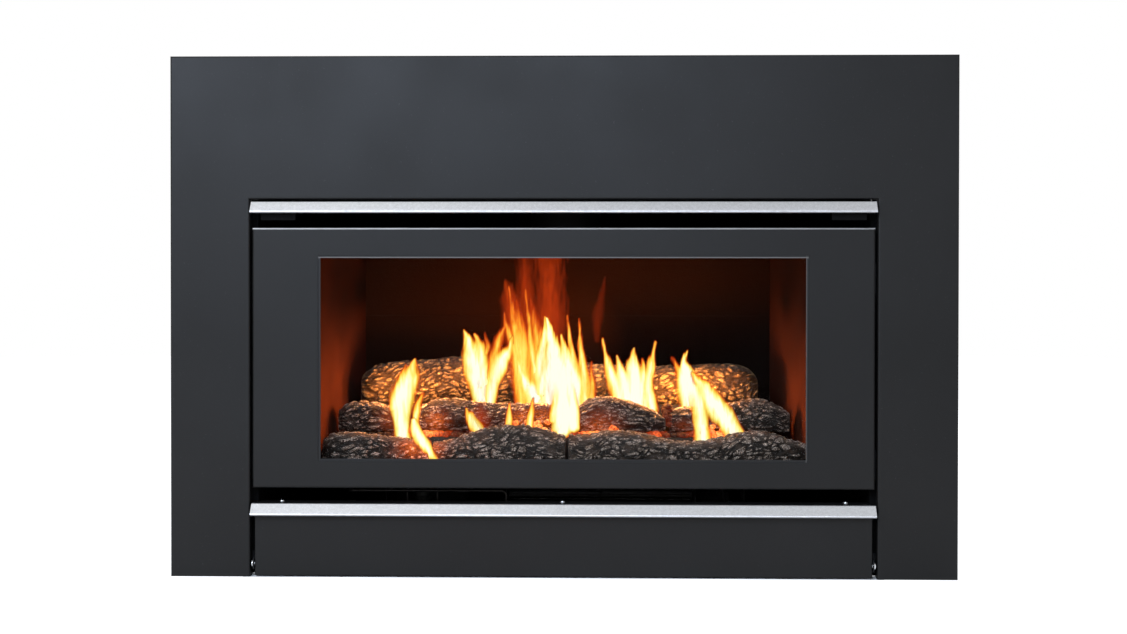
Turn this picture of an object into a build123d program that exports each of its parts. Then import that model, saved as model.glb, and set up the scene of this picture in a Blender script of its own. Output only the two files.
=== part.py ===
from build123d import *
import math
import os

os.makedirs("parts", exist_ok=True)

# Inbuilt gas log fire. Millimetres. X runs to the right, Y into the wall, Z up.
# The origin is on the hearth, in the wall plane, in the middle of the width.

# ---------------------------------------------------------------- driving sizes
sheet = 1.6                  # folded steel sheet of case, surround, door and panel
bend = 2.4                   # outer radius of a fold
fit = 0.1                    # radial clearance of a turning pin
shut_gap = 0.3               # gap that a closed door or panel leaves to its stop
fold_gap = 0.5               # gap between a moving return and the sheet beside it

surround_width = 1050
surround_height = 696
surround_depth = 30          # how far its face stands off the wall
opening_width = 837
opening_height = 505
inner_return = 15
wall_lip = 12

case_width = 826
case_height = 500
case_depth = 360
case_front = -4
case_flange = 15             # turned out at the front, behind the surround
side_flange = 7
flange_start = 30

door_width = 830.2
door_bottom = 118.8
door_top = 466.7
door_face = -29              # Y of the door's and the lower panel's front
door_return = 20
door_relief = 12             # depth of the side returns beside the pivot
door_edge_radius = 3
window_width = 653.8
window_bottom = 154.9
window_top = 429.9

glass_thickness = 5
tape = 2                     # thickness of the seal under the glass
tape_width = 12
glass_lap = 16               # how far the glass passes the window at each side
glass_lap_low = 15.4
glass_lap_top = 16.6
glass_frame_lap = 13         # how far the frame passes the glass at each side
glass_frame_lap_low = 8
glass_frame_lap_top = 8.5
glass_step = 3.2             # how far the glass frame shows inside the window
rope_radius = 4
rope_inset = 10              # rope centre line inside the glass edge
clip_lip = 4
clip_foot = 6
clip_gap = 0.6               # between a clip and the glass edge
clip_length = 20
clip_x = 190
clip_rise = 70
clip_thickness = 1.6

front_frame_inset_low = 3.2  # from the door's lower edge
front_frame_inset_top = 8.7  # from its upper edge
front_flange_depth = 29
frame_overlap = 0.9          # how far its opening lies outside the window

hanger_drop = 8              # from the front frame's upper edge to the door's pivot
hanger_face_gap = 8.9        # from the pivot to the back of the door's sheet
hanger_pin_radius = 4
hanger_x = 390
hook_thickness = 3
hook_radius = 7.2
ear_radius = 5.5
ear_spacing = 21
catch_x = 250
catch_rise = 4               # from the front frame's lower edge to the catch pegs
peg_radius = 2.5
fork_gap = 0.15
fork_arm = 1.2
fork_width = 8
fork_reach = 3.5             # how far the arms run past the peg's centre
peg_ear_spacing = 14

panel_width = 824
panel_bottom = 1.5
panel_top = 98
shelf_depth = 38             # the panel's top return, seen over the bar
panel_corner = 5
panel_foot = 13              # depth of its bottom return
hinge_height = 17
hinge_back = 5               # from the panel's face to its hinge axis
hinge_pin_radius = 3
hinge_head_radius = 5
hinge_head = 2.2
hinge_plate_height = 28
hinge_plate_radius = 8

bar_width = 831
bar_rise = 16.6
bar_lean = 14                # the lower edge stands this much nearer the room
bar_sheet = 1.5
bar_radius = 2.0
bar_underside = 3
bar_slot = 4                 # open slot along the underside
top_bar_bottom = 485
lower_bar_bottom = 82
bracket_x = 380
bracket_width = 46
bracket_hang = 8             # how far the top brackets show below the bar
top_bracket_reach = 25
bar_bracket_reach = 6
gusset_reach = 18
screw_y = -3
screw_radius = 2
screw_head_radius = 4
screw_head = 2.3
screw_clearance = 0.1

magnet_radius = 10
magnet_height = 5
surround_magnet_x = 456
surround_magnet_heights = (150, 400)
panel_magnet_x = 399
panel_magnet_height = 81
strike_height = 22
arm_step = 22                # from the opening to the step of a surround bracket
angle_reach = 20             # Y that a panel magnet's angle runs back to

firebox_lap = 27             # how far the firebox passes the window at each side
firebox_taper = 44           # how far each side wall leans in towards the back
firebox_depth = 262
firebox_floor_top = 128
firebox_ceiling = 448
liner_thickness = 12
side_liner_thickness = 10
liner_seam = 347
liner_gap = 0.5

flue_y = 170
flue_radius = 50
flue_wall = 1
flue_rise = 60               # length above the case
flue_bead = 3
flue_hole_gap = 1
flue_flange = 12
baffle_drop = 11
baffle_width = 300
baffle_depth = 120

duct_x = -200
duct_width = 100
duct_reach = 52              # how far its box runs under the firebox
duct_bottom = 24
duct_sheet = 1.2
duct_slot_width = 80
duct_slot_depth = 24
duct_slot_back = 28          # slot centre in front of the firebox's back
intake_radius = 38
intake_height = 62
intake_rise = 40

log_point_count = 8          # points round each section of a log
tray_width = 570
tray_front = 68
tray_step_back = 124
tray_back = 185
tray_low = 180
tray_high = 222
port_pitch = 30
port_radius = 2.2
port_inset = 20
ember_thickness = 7
ember_overhang = 2
coal_size = 13
# loose coals: x, y and how far each stands up from the bed, in heaps against the middle logs
coal_heaps = ((-216, 90, 4), (-216, 72, 1), (-84, 71, 2), (-69, 71, 8), (-54, 71, 11),
              (-38, 71, 9), (-22, 71, 10), (-6, 71, 4), (70, 69, 2), (196, 71, 3), (212, 71, 5),
              (227, 71, 2))
venturi_x = -200
venturi_y = 95
venturi_radius = 12
venturi_bottom = 80
support_x = 240
support_width = 30
support_front = 125
support_length = 65
pilot_x = -299
pilot_y = 150

control_y = 24
control_left = -130
control_right = 170
control_bottom = 8
control_top = 92
control_foot = 24
valve_x = -70
igniter_x = 20
fan_control_x = 110
control_height = 50
spindle_radius = 3
knob_radius = 18
fan_knob_radius = 13
knob_depth = 20
knob_gap = 1
button_radius = 7
igniter_length = 48
button_travel = 5
neck_length = 3              # of a control, in front of its plate
control_nose = -4            # how far forward the knobs may reach
valve_depth = 48
valve_half_width = 30
valve_half_height = 22
valve_inlet = 14             # length of its inlet stub
valve_outlet = 10            # length of its outlet stub
outlet_drop = 5
pilot_stub = 8               # length of its pilot stub
pilot_stub_x = 10
pilot_stub_y = 34

pipe_radius = 4
pilot_pipe_radius = 2
pilot_rise = 26              # height of its level run above the valve's stub
strap_half = 21
inlet_x = -340
inlet_height = 45
inlet_radius = 10.5
inlet_reach = 25
inlet_nut = 14
inlet_nut_length = 6         # of the locknut outside
inner_nut_length = 18
union_reach = 22             # from the inside of the back sheet to its front end
gland_x = 330
gland_height = 40
gland_bore = 4.5
gland_nut = 8
gland_reach = 14             # how far it stands off the back

blower_back = 54             # wheel axis in front of the case's back
blower_height = 52
blower_left = -90
blower_length = 280
wheel_radius = 30
blade_count = 22
blade_depth = 7
blade_thickness = 0.9
disc_thickness = 1.5
shaft_radius = 3
housing_gap = 4
housing_sheet = 1.2
end_gap = 2                  # between the wheel and the housing's ends
tongue_inset = 12
bush_length = 5
blower_foot = 12
outlet_top = 112
motor_radius = 26
motor_length = 46
motor_gap = 6
motor_plate = 3
shaft_seat = 8               # how far the shaft enters the motor

anchor_x = 370
anchor_front = 60
anchor_back = 310
anchor_radius = 5

# ---------------------------------------------------------------- worked-out places
half_sheet = sheet / 2
glass_width = window_width + 2 * glass_lap
glass_bottom = window_bottom - glass_lap_low
glass_top = window_top + glass_lap_top
glass_frame_width = glass_width + 2 * glass_frame_lap
glass_frame_bottom = glass_bottom - glass_frame_lap_low
glass_frame_top = glass_top + glass_frame_lap_top
front_frame_bottom = door_bottom + front_frame_inset_low
front_frame_top = door_top - front_frame_inset_top
hanger_height = front_frame_top - hanger_drop
catch_height = front_frame_bottom + catch_rise
firebox_front_width = window_width + 2 * firebox_lap
firebox_back_width = firebox_front_width - 2 * firebox_taper
duct_front = firebox_depth - duct_reach
duct_slot_y = firebox_depth - duct_slot_back
blower_y = case_depth - blower_back
surround_face = -surround_depth
door_back = door_face + sheet
door_rear = door_face + door_return
glass_frame_back = door_back + sheet
glass_front = glass_frame_back + tape
glass_back = glass_front + glass_thickness
rope_y = glass_back + rope_radius
frame_face = glass_back + 2 * rope_radius + shut_gap
frame_back = frame_face + sheet
case_inner = case_width / 2 - sheet
case_ceiling = case_height - sheet
case_rear_inner = case_depth - sheet
hanger_y = door_back + hanger_face_gap
hinge_y = door_face + hinge_back
bar_back = door_face - sheet
firebox_wall_front = frame_back


# ---------------------------------------------------------------- helpers
def save(node, *shapes):
    solids = [s for shape in shapes for s in shape.solids()]
    export_step(solids[0] if len(solids) == 1 else Compound(solids), f"parts/{node}.step")


def block(x0, x1, y0, y1, z0, z1):
    middle = Pos((x0 + x1) / 2, (y0 + y1) / 2, (z0 + z1) / 2)
    return middle * Box(x1 - x0, y1 - y0, z1 - z0)


def rod_x(radius, x0, x1, y, z):
    return Pos((x0 + x1) / 2, y, z) * Rot(0, 90, 0) * Cylinder(radius, x1 - x0)


def rod_y(radius, x, y0, y1, z):
    return Pos(x, (y0 + y1) / 2, z) * Rot(90, 0, 0) * Cylinder(radius, y1 - y0)


def rod_z(radius, x, y, z0, z1):
    return Pos(x, y, (z0 + z1) / 2) * Cylinder(radius, z1 - z0)


def across(profile, x0, x1):
    """A YZ profile run along X."""
    return extrude(Plane.YZ.offset(x0) * profile, amount=x1 - x0)


def upright(profile, z0, z1):
    """An XY profile run up Z."""
    return extrude(Plane.XY.offset(z0) * profile, amount=z1 - z0)


def inward(profile, y0, y1):
    """An XZ profile run back along Y."""
    return extrude(Plane.XZ.offset(-y0) * profile, amount=y0 - y1)


def outline(*points):
    return make_face(Polyline(*points, close=True))


def folded(points, thickness=sheet, radius=bend):
    """The section of a folded strip, from its centre line."""
    return trace(FilletPolyline(*points, radius=radius - thickness / 2), line_width=thickness)


def both_sides(part):
    return [part, part.mirror(Plane.YZ)]


def rectangle(width, z0, z1):
    return Pos(0, (z0 + z1) / 2) * Rectangle(width, z1 - z0)


def picture_frame(outer_width, outer, inner_width, inner, y0, y1):
    """A flat frame between two depths; outer and inner are (bottom, top)."""
    ring = rectangle(outer_width, *outer) - rectangle(inner_width, *inner)
    return inward(ring, y0, y1)


def front_edges(part):
    """Edges round the part's foremost face, without those on the hearth."""
    edges = part.faces().sort_by(Axis.Y)[0].edges()
    return [edge for edge in edges if edge.center().Z > panel_bottom / 2]


def pan_screw_z(x, y, seat, shank):
    """A pan head screw that points down from its seat."""
    head = rod_z(screw_head_radius, x, y, seat, seat + screw_head)
    head = fillet(head.faces().sort_by(Axis.Z)[-1].edges(), screw_head * 0.6)
    return head + rod_z(screw_radius, x, y, seat - shank, seat)


# ---------------------------------------------------------------- surround
def surround():
    outer = rectangle(surround_width, 0, surround_height)
    hole = rectangle(opening_width, -1, opening_height)
    shell = inward(outer - hole, surround_face, 0)
    shell = fillet(front_edges(shell), bend)
    cavity = rectangle(surround_width - 2 * sheet, sheet, surround_height - sheet)
    cavity -= rectangle(opening_width + 2 * sheet, 0, opening_height + sheet)
    inside = inward(cavity, surround_face + sheet, -sheet)
    inside = fillet(inside.faces().sort_by(Axis.Y)[0].edges(), bend - sheet)
    shell -= inside
    # the inner returns stop short of the wall, and the outer ones end in a lip on it
    mouth = rectangle(surround_width - 2 * wall_lip, -1, surround_height - wall_lip)
    shell -= inward(mouth, surround_face + inner_return, 1)
    # a bottom lip closes each column where it stands on the hearth
    lip = block(opening_width / 2 + sheet, surround_width / 2 - wall_lip,
                surround_face + inner_return, 0, 0, sheet)
    for side in both_sides(lip):
        shell += side
    return shell


# ---------------------------------------------------------------- case
def case_base():
    plate = block(-case_width / 2, case_width / 2, case_front, case_depth, 0, sheet)
    for x in (-anchor_x, anchor_x):
        for y in (anchor_front, anchor_back):
            plate -= rod_z(anchor_radius, x, y, -1, sheet + 1)
    return plate


def case_sides():
    x = case_inner
    middle = x + half_sheet
    front = case_front + half_sheet
    section = folded([(middle, case_rear_inner), (middle, front),
                      (case_width / 2 + case_flange, front)])
    web = upright(section, sheet, case_ceiling)
    for z in (sheet, case_ceiling - sheet):
        web += block(x - side_flange, x, flange_start, case_rear_inner, z, z + sheet)
    for y, z in case_screw_places():
        web -= rod_x(screw_radius + screw_clearance, x - 1, x + sheet + 1, y, z)
    return both_sides(web)


def case_back():
    back = block(-case_width / 2, case_width / 2, case_rear_inner, case_depth,
                 sheet, case_ceiling)
    back -= rod_y(intake_radius + flue_hole_gap, duct_x, case_rear_inner - 1,
                  case_depth + 1, intake_height)
    back -= rod_y(inlet_radius + fit, inlet_x, case_rear_inner - 1,
                  case_depth + 1, inlet_height)
    back -= rod_y(gland_thread() + fit, gland_x, case_rear_inner - 1, case_depth + 1,
                  gland_height)
    return back


def case_top():
    middle = case_ceiling + half_sheet
    front = case_front + half_sheet
    section = folded([(case_depth, middle), (front, middle),
                      (front, case_height + case_flange)])
    top = across(section, -case_width / 2, case_width / 2)
    return top - rod_z(flue_radius + flue_hole_gap, 0, flue_y, case_ceiling - 1,
                       case_height + 1)


def case_screw_places():
    """(y, z) of the screws through each case side into the front frame."""
    y = (case_front + frame_back + front_flange_depth) / 2
    inset = 30
    middle = (front_frame_bottom + front_frame_top) / 2
    return [(y, front_frame_bottom + inset), (y, middle), (y, front_frame_top - inset)]


def case_screws():
    shank = 2 * sheet
    screws = []
    for y, z in case_screw_places():
        turn = Pos(case_width / 2, y, z) * Rot(0, 90, 0)
        screws += both_sides(turn * pan_screw_z(0, 0, 0, shank))
    return screws


# ---------------------------------------------------------------- firebox
def front_frame():
    half = case_inner
    hole_width = window_width + 2 * frame_overlap
    plate = picture_frame(2 * half, (front_frame_bottom, front_frame_top), hole_width,
                          (window_bottom - frame_overlap, window_top + frame_overlap),
                          frame_face, frame_back)
    back = frame_back + front_flange_depth
    flange = block(half - sheet, half, frame_back, back, front_frame_bottom,
                   front_frame_top)
    for side in both_sides(flange):
        plate += side
    plate = fillet([edge for edge in front_edges(plate)
                    if abs(abs(edge.center().X) - half) < sheet], bend - half_sheet)
    for y, z in case_screw_places():
        for side in both_sides(rod_x(screw_radius + screw_clearance, half - sheet - 1,
                                     half + 1, y, z)):
            plate -= side
    return plate


def firebox_half_width(y, inset=0.0):
    """Half width of the splayed firebox at a depth, inside its walls."""
    share = (y - firebox_wall_front) / (firebox_depth - firebox_wall_front)
    front, back = firebox_front_width / 2, firebox_back_width / 2
    return front + (back - front) * share - inset


def firebox_plan(y0, y1, inset=0.0):
    """The splayed plan of what lies between the side walls."""
    a, b = firebox_half_width(y0, inset), firebox_half_width(y1, inset)
    return outline((-a, y0), (a, y0), (b, y1), (-b, y1))


def firebox_floor():
    plan = firebox_plan(firebox_wall_front, firebox_depth)
    plate = upright(plan, firebox_floor_top - sheet, firebox_floor_top)
    through = (firebox_floor_top - sheet - 1, firebox_floor_top + 1)
    plate -= rod_z(venturi_radius + fit, venturi_x, venturi_y, *through)
    plate -= rod_z(pilot_pipe_radius + fit, pilot_x, pilot_y, *through)
    return plate - block(duct_x - duct_slot_width / 2, duct_x + duct_slot_width / 2,
                         duct_slot_y - duct_slot_depth / 2,
                         duct_slot_y + duct_slot_depth / 2, *through)


def firebox_side_walls():
    y0, y1 = firebox_wall_front, firebox_depth
    a, b = firebox_half_width(y0), firebox_half_width(y1)
    plan = outline((a, y0), (a + sheet, y0), (b + sheet, y1), (b, y1))
    wall = upright(plan, firebox_floor_top - sheet, firebox_ceiling + sheet)
    return both_sides(wall)


def firebox_back_wall():
    half = firebox_half_width(firebox_depth) + sheet
    return block(-half, half, firebox_depth, firebox_depth + sheet,
                 firebox_floor_top - sheet, firebox_ceiling + sheet)


def firebox_top():
    plan = firebox_plan(firebox_wall_front, firebox_depth)
    plate = upright(plan, firebox_ceiling, firebox_ceiling + sheet)
    return plate - rod_z(flue_radius - flue_wall, 0, flue_y, firebox_ceiling - 1,
                         firebox_ceiling + sheet + 1)


def firebox_supports():
    low, high = sheet, firebox_floor_top - sheet
    half, foot = support_width / 2, 14
    hat = folded([(support_x - half - foot, low + half_sheet),
                  (support_x - half, low + half_sheet),
                  (support_x - half, high - half_sheet),
                  (support_x + half, high - half_sheet),
                  (support_x + half, low + half_sheet),
                  (support_x + half + foot, low + half_sheet)])
    return both_sides(inward(hat, support_front, support_front + support_length))


def back_liners():
    y1 = firebox_depth
    y0 = y1 - liner_thickness
    plan = firebox_plan(y0, y1, side_liner_thickness)
    lower = upright(plan, firebox_floor_top, liner_seam - liner_gap / 2)
    upper = upright(plan, liner_seam + liner_gap / 2, firebox_ceiling)
    return [lower, upper]


def side_liners():
    y0, y1 = firebox_wall_front, firebox_depth
    a, b = firebox_half_width(y0), firebox_half_width(y1)
    t = side_liner_thickness
    plan = outline((a - t, y0), (a, y0), (b, y1), (b - t, y1))
    return both_sides(upright(plan, firebox_floor_top, firebox_ceiling))


def flue_baffle():
    """A folded plate hung under the flue by its two end flanges."""
    top = firebox_ceiling - half_sheet
    low = firebox_ceiling - baffle_drop
    half, foot = baffle_width / 2, 12
    hat = folded([(-half - foot, top), (-half, top), (-half, low), (half, low),
                  (half, top), (half + foot, top)])
    return inward(hat, flue_y - baffle_depth / 2, flue_y + baffle_depth / 2)


def flue_spigot():
    base, bore = firebox_ceiling + sheet, flue_radius - flue_wall
    bead = case_height
    top = case_height + flue_rise
    bead_radius = flue_radius + flue_bead
    ring = outline((bore, base), (flue_radius + flue_flange, base),
                   (flue_radius + flue_flange, base + sheet), (flue_radius, base + sheet),
                   (flue_radius, bead), (bead_radius, bead), (bead_radius, bead + flue_bead),
                   (flue_radius, bead + flue_bead), (flue_radius, top), (bore, top))
    return Pos(0, flue_y, 0) * revolve(Plane.XZ * ring, Axis.Z)


def air_duct():
    """The box that brings combustion air from the back to the firebox floor."""
    left, right = duct_x - duct_width / 2, duct_x + duct_width / 2
    top = firebox_floor_top - sheet
    t = duct_sheet
    rear = case_rear_inner
    box = block(left, right, duct_front, rear, duct_bottom, top)
    box += rod_y(intake_radius, duct_x, rear - t, case_depth + intake_rise, intake_height)
    box -= block(left + t, right - t, duct_front + t, rear - t, duct_bottom + t, top - t)
    box -= rod_y(intake_radius - t, duct_x, rear - t - 1, case_depth + intake_rise + 1,
                 intake_height)
    return box - block(duct_x - duct_slot_width / 2, duct_x + duct_slot_width / 2,
                       duct_slot_y - duct_slot_depth / 2,
                       duct_slot_y + duct_slot_depth / 2, top - t - 1, top + 1)


# ---------------------------------------------------------------- burner
def burner_tray():
    """A stepped pan: embers and middle logs on the low step, the rear log above."""
    h = half_sheet
    step = folded([(tray_front + h, firebox_floor_top), (tray_front + h, tray_low - h),
                   (tray_step_back - h, tray_low - h), (tray_step_back - h, tray_high - h),
                   (tray_back - h, tray_high - h), (tray_back - h, firebox_floor_top)])
    half = tray_width / 2
    pan = across(step, -half, half)
    end = outline((tray_front, firebox_floor_top), (tray_front, tray_low - bend),
                  (tray_front + bend, tray_low), (tray_step_back - sheet, tray_low),
                  (tray_step_back - sheet, tray_high - bend),
                  (tray_step_back - sheet + bend, tray_high),
                  (tray_back - bend, tray_high), (tray_back, tray_high - bend),
                  (tray_back, firebox_floor_top))
    for side in both_sides(across(end, half, half + sheet)):
        pan += side
    ports = int(tray_width / port_pitch) - 1
    for i in range(ports):
        x = (i - (ports - 1) / 2) * port_pitch
        pan -= rod_z(port_radius, x, tray_front + port_inset, tray_low - sheet - 1, tray_low + 1)
    return pan


def burner_venturi():
    """Injector below, flared throat through the floor, collar inside the tray."""
    r, low, high = venturi_radius, venturi_bottom, firebox_floor_top
    wall, mouth, flare = 1.5, 16, 14
    collar, collar_thickness, throat = 5, 2, 14
    bell = outline((r - wall, low + flare), (mouth - wall, low + 2), (mouth, low),
                   (mouth + 1, low + 3), (r, low + flare + 2), (r, high), (r + collar, high),
                   (r + collar, high + collar_thickness), (r, high + collar_thickness),
                   (r, high + throat), (r - wall, high + throat))
    return Pos(venturi_x, venturi_y, 0) * revolve(Plane.XZ * bell, Axis.Z)


def pilot_burner():
    """Bracket from the floor with the pilot tube, its hood, the spark rod and the
    thermocouple."""
    floor = firebox_floor_top
    x, y = pilot_x, pilot_y
    high = tray_low - 6
    half, back = 8, y + 9
    bracket = block(x - half, x + half, back, back + sheet, floor, high)
    bracket += block(x - half, x + half, y - 4, back + sheet, high - sheet, high)
    foot = block(x - half, x + half, back, back + 13, floor, floor + sheet)
    hood_radius, hood_wall, hood_height = 6, 1.4, 7
    rim = high + 10
    crown = rim + hood_height - 2
    tube = rod_z(hood_radius / 2, x, y, floor, rim)
    hood = rod_z(hood_radius, x, y, rim, rim + hood_height)
    hood -= rod_z(hood_radius - hood_wall, x, y, rim - 1, crown)
    hood -= block(x - hood_radius - 1, x + hood_radius + 1, y - hood_radius - 1, y - 2,
                  rim + 1, crown)
    probe_x, probe_y = 5.5, y + 4
    spark = rod_z(2, x + probe_x, probe_y, high, high + 8)
    spark += rod_z(0.8, x + probe_x, probe_y, high, high + 13)
    couple = rod_z(1.6, x - probe_x, probe_y, high, high + 14)
    return bracket + foot + tube + hood + spark + couple


def coal(x, y, z, size, turn):
    """One broken piece of glowing coal."""
    lump = chamfer(Box(size, size * 0.8, size * 0.7).edges(), size * 0.16)
    return Pos(x, y, z) * Rot(turn, turn * 1.7, turn * 2.3) * lump


def ember_bed():
    bottom, top = tray_low, tray_low + ember_thickness
    half = tray_width / 2
    bed = block(-half, half, tray_front - ember_overhang, tray_step_back - sheet - ember_overhang,
                bottom, top)
    bed = chamfer(bed.faces().sort_by(Axis.Z)[-1].edges(), 2)
    below = block(-half, half, tray_front - 20, tray_step_back, bottom - 20, bottom)
    for i, (x, y, rise) in enumerate(coal_heaps):
        size = coal_size + 2 * math.sin(2.1 * i)
        for share in (0.3, 1):
            bed += coal(x, y, top + rise * share, size, 17 + 31 * i * share)
    return bed - below


# ---------------------------------------------------------------- logs
def log_section(x, y, z, radius_y, radius_z, seed):
    """One uneven round section of a log, across X."""
    points = []
    for i in range(log_point_count):
        angle = 2 * math.pi * i / log_point_count
        swell = 1 + 0.07 * math.sin(3 * angle + 1.7 * seed) + 0.05 * math.sin(5 * angle + 2.9 * seed)
        points.append((y + radius_y * swell * math.cos(angle),
                       z + radius_z * swell * math.sin(angle)))
    return Plane.YZ.offset(x) * make_face(Spline(*points, periodic=True))


def log(stations, seat, seed):
    """A log from stations (x, y, top, radius_y): its top line is given, and its
    underside is flat where it rests."""
    sections = []
    for i, (x, y, top, radius_y) in enumerate(stations):
        radius_z = (top - seat) / 2 * 1.06
        sections.append(log_section(x, y, top - radius_z, radius_y, radius_z, seed + 0.35 * i))
    body = loft(sections)
    x0, x1 = stations[0][0] - 1, stations[-1][0] + 1
    y, reach = stations[0][1], 100
    return body - block(x0, x1, y - reach, y + reach, seat - reach, seat)


front_logs = {
    "front_log_left": [(-331, 31, 184, 20), (-305, 32, 191, 26), (-255, 33, 188, 27),
                       (-215, 33, 183, 26), (-181, 32, 179, 22)],
    "front_log_centre": [(-178, 32, 177, 24), (-129, 33, 187, 27), (-80, 33, 197, 27),
                         (-40, 32, 195, 27), (4, 32, 184, 25)],
    "front_log_right": [(7, 32, 186, 25), (50, 33, 193, 27), (88, 33, 196, 27),
                        (132, 32, 186, 26), (175, 32, 179, 25), (230, 33, 188, 27),
                        (280, 33, 190, 27), (331, 31, 180, 20)],
}
middle_logs = {
    "middle_log_left": [(-318, 92, 220, 16), (-290, 92, 228, 20), (-258, 93, 225, 20),
                        (-226, 94, 217, 17)],
    "middle_log_dark": [(-206, 97, 222, 15), (-175, 97, 231, 19), (-140, 98, 229, 18),
                        (-104, 99, 225, 17), (-60, 99, 226, 17), (-20, 99, 225, 17),
                        (9, 99, 218, 14)],
    "middle_log_curved": [(14, 97, 216, 15), (45, 97, 236, 19), (80, 97, 235, 20),
                          (112, 96, 224, 18), (142, 95, 206, 14)],
    "middle_log_right": [(147, 99, 214, 14), (180, 99, 221, 17), (215, 98, 221, 17),
                         (250, 97, 230, 18), (285, 96, 229, 18), (316, 96, 216, 15)],
}
rear_log_stations = [(-295, 156, 262, 20), (-245, 156, 281, 28), (-172, 156, 288, 29),
                     (-95, 157, 290, 29), (0, 157, 282, 28), (95, 156, 278, 28),
                     (180, 156, 279, 28), (238, 156, 281, 28), (276, 156, 262, 20)]


# ---------------------------------------------------------------- door
def door_frame():
    half = door_width / 2
    shell = inward(rectangle(door_width, door_bottom, door_top), door_face, door_rear)
    shell = fillet(front_edges(shell), door_edge_radius)
    cavity = inward(rectangle(door_width - 2 * sheet, door_bottom + sheet, door_top - sheet),
                    door_back, door_rear + 1)
    cavity = fillet(cavity.faces().sort_by(Axis.Y)[0].edges(), door_edge_radius - sheet)
    shell -= cavity
    window = inward(rectangle(window_width, window_bottom, window_top), door_face - 1,
                    door_back + 1)
    # the upper corners swing back past the case, so their returns are cut shorter
    relief = block(case_inner - sheet, half + 1, door_face + door_relief, door_rear + 1,
                   hanger_height - 2 * hook_radius, door_top + 1)
    for side in both_sides(relief):
        shell -= side
    return shell - window


def glass_frame():
    step = glass_step
    return picture_frame(glass_frame_width, (glass_frame_bottom, glass_frame_top),
                         window_width - 2 * step, (window_bottom + step, window_top - step),
                         door_back, glass_frame_back)


def glass_pane():
    pane = block(-glass_width / 2, glass_width / 2, glass_front, glass_back, glass_bottom,
                 glass_top)
    return chamfer(pane.edges().filter_by(Axis.Y), 2)


def door_seals():
    tape_ring = picture_frame(glass_width, (glass_bottom, glass_top),
                              glass_width - 2 * tape_width,
                              (glass_bottom + tape_width, glass_top - tape_width),
                              glass_frame_back, glass_front)
    half = glass_width / 2 - rope_inset
    low, high = glass_bottom + rope_inset, glass_top - rope_inset
    corner = 3 * rope_radius
    path = RectangleRounded(2 * half, high - low, corner).face().outer_wire()
    path = Plane.XZ.offset(-rope_y) * Pos(0, (low + high) / 2) * path
    start = path.edges().filter_by(Axis.X)[0]
    section = Plane(origin=start @ 0.5, z_dir=start % 0.5) * Circle(rope_radius)
    return [tape_ring, sweep(section, path=path)]


def clip_section(edge, away):
    """The section of a glass clip: foot on the frame, lip on the glass. away is 1
    where the foot lies on the positive side of the glass edge."""
    t = clip_thickness / 2
    rise = edge + away * (clip_gap + t)
    foot = rise + away * clip_foot
    return trace(Polyline((foot, glass_frame_back + t), (rise, glass_frame_back + t),
                          (rise, glass_back + t), (edge - away * clip_lip, glass_back + t)),
                 line_width=clip_thickness)


def glass_clips():
    clips = []
    half = clip_length / 2
    middle = (glass_bottom + glass_top) / 2
    for z in (middle - clip_rise, middle + clip_rise):
        clips += both_sides(upright(clip_section(glass_width / 2, 1), z - half, z + half))
    for edge, away in ((glass_top, 1), (glass_bottom, -1)):
        clips += both_sides(upright(clip_section(edge, away), clip_x - half, clip_x + half)
                            .rotate(Axis.Y, -90).mirror(Plane.YZ))
    return clips


def door_brackets():
    """Two hooks that hang the door on its pins, and two catch pegs."""
    y, z, r = hanger_y, hanger_height, hook_radius
    notch = hanger_pin_radius + fit
    tab = Pos(y, z) * Circle(r) + outline((door_back, z - r), (y, z - r), (y, z + r), (door_back, z + r))
    tab -= Pos(y, z) * Circle(notch)
    tab -= outline((y - notch, z), (y + notch, z), (y + notch, z - r - 1), (y - notch, z - r - 1))
    hook = across(tab, hanger_x - hook_thickness / 2, hanger_x + hook_thickness / 2)
    zc, half = catch_height, peg_ear_spacing / 2
    rise, nose = 4, 3
    ear = outline((door_back, zc - rise), (hanger_y, zc - rise), (hanger_y + nose, zc - rise / 2),
                  (hanger_y + nose, zc + rise / 2), (hanger_y, zc + rise), (door_back, zc + rise))
    peg = across(ear, catch_x - half - sheet, catch_x - half)
    peg += across(ear, catch_x + half, catch_x + half + sheet)
    peg += rod_x(peg_radius, catch_x - half, catch_x + half, hanger_y, zc)
    return both_sides(hook) + both_sides(peg)


def door_hangers():
    """Two eared brackets on the front frame with the pins that carry the door."""
    y, z, r = hanger_y, hanger_height, ear_radius
    half, foot = ear_spacing / 2, 9
    ear_shape = Pos(y, z) * Circle(r) + outline((y, z - r), (frame_face, z - r),
                                              (frame_face, z + r), (y, z + r))
    part = rod_x(hanger_pin_radius, hanger_x - half, hanger_x + half, y, z)
    for x, foot_x in ((hanger_x - half - sheet, hanger_x - half - foot),
                      (hanger_x + half, hanger_x + half)):
        part += across(ear_shape, x, x + sheet)
        part += block(foot_x, foot_x + foot, frame_face - sheet, frame_face, z - r, z + r)
    return both_sides(part)


def catch_forks():
    """Spring forks on the front frame that grip the door's pegs."""
    gap = peg_radius + fork_gap
    tip, root = hanger_y - fork_reach, frame_face
    arm, flare = fork_arm, 0.8
    upper = outline((root - sheet, gap), (tip, gap), (tip - 1, gap + flare),
                    (tip - 1, gap + flare + arm - 0.2), (tip, gap + arm), (root, gap + arm),
                    (root, 0), (root - sheet, 0))
    fork = Pos(0, catch_height) * (upper + upper.mirror(Plane.XZ))
    return both_sides(across(fork, catch_x - fork_width / 2, catch_x + fork_width / 2))


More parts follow.
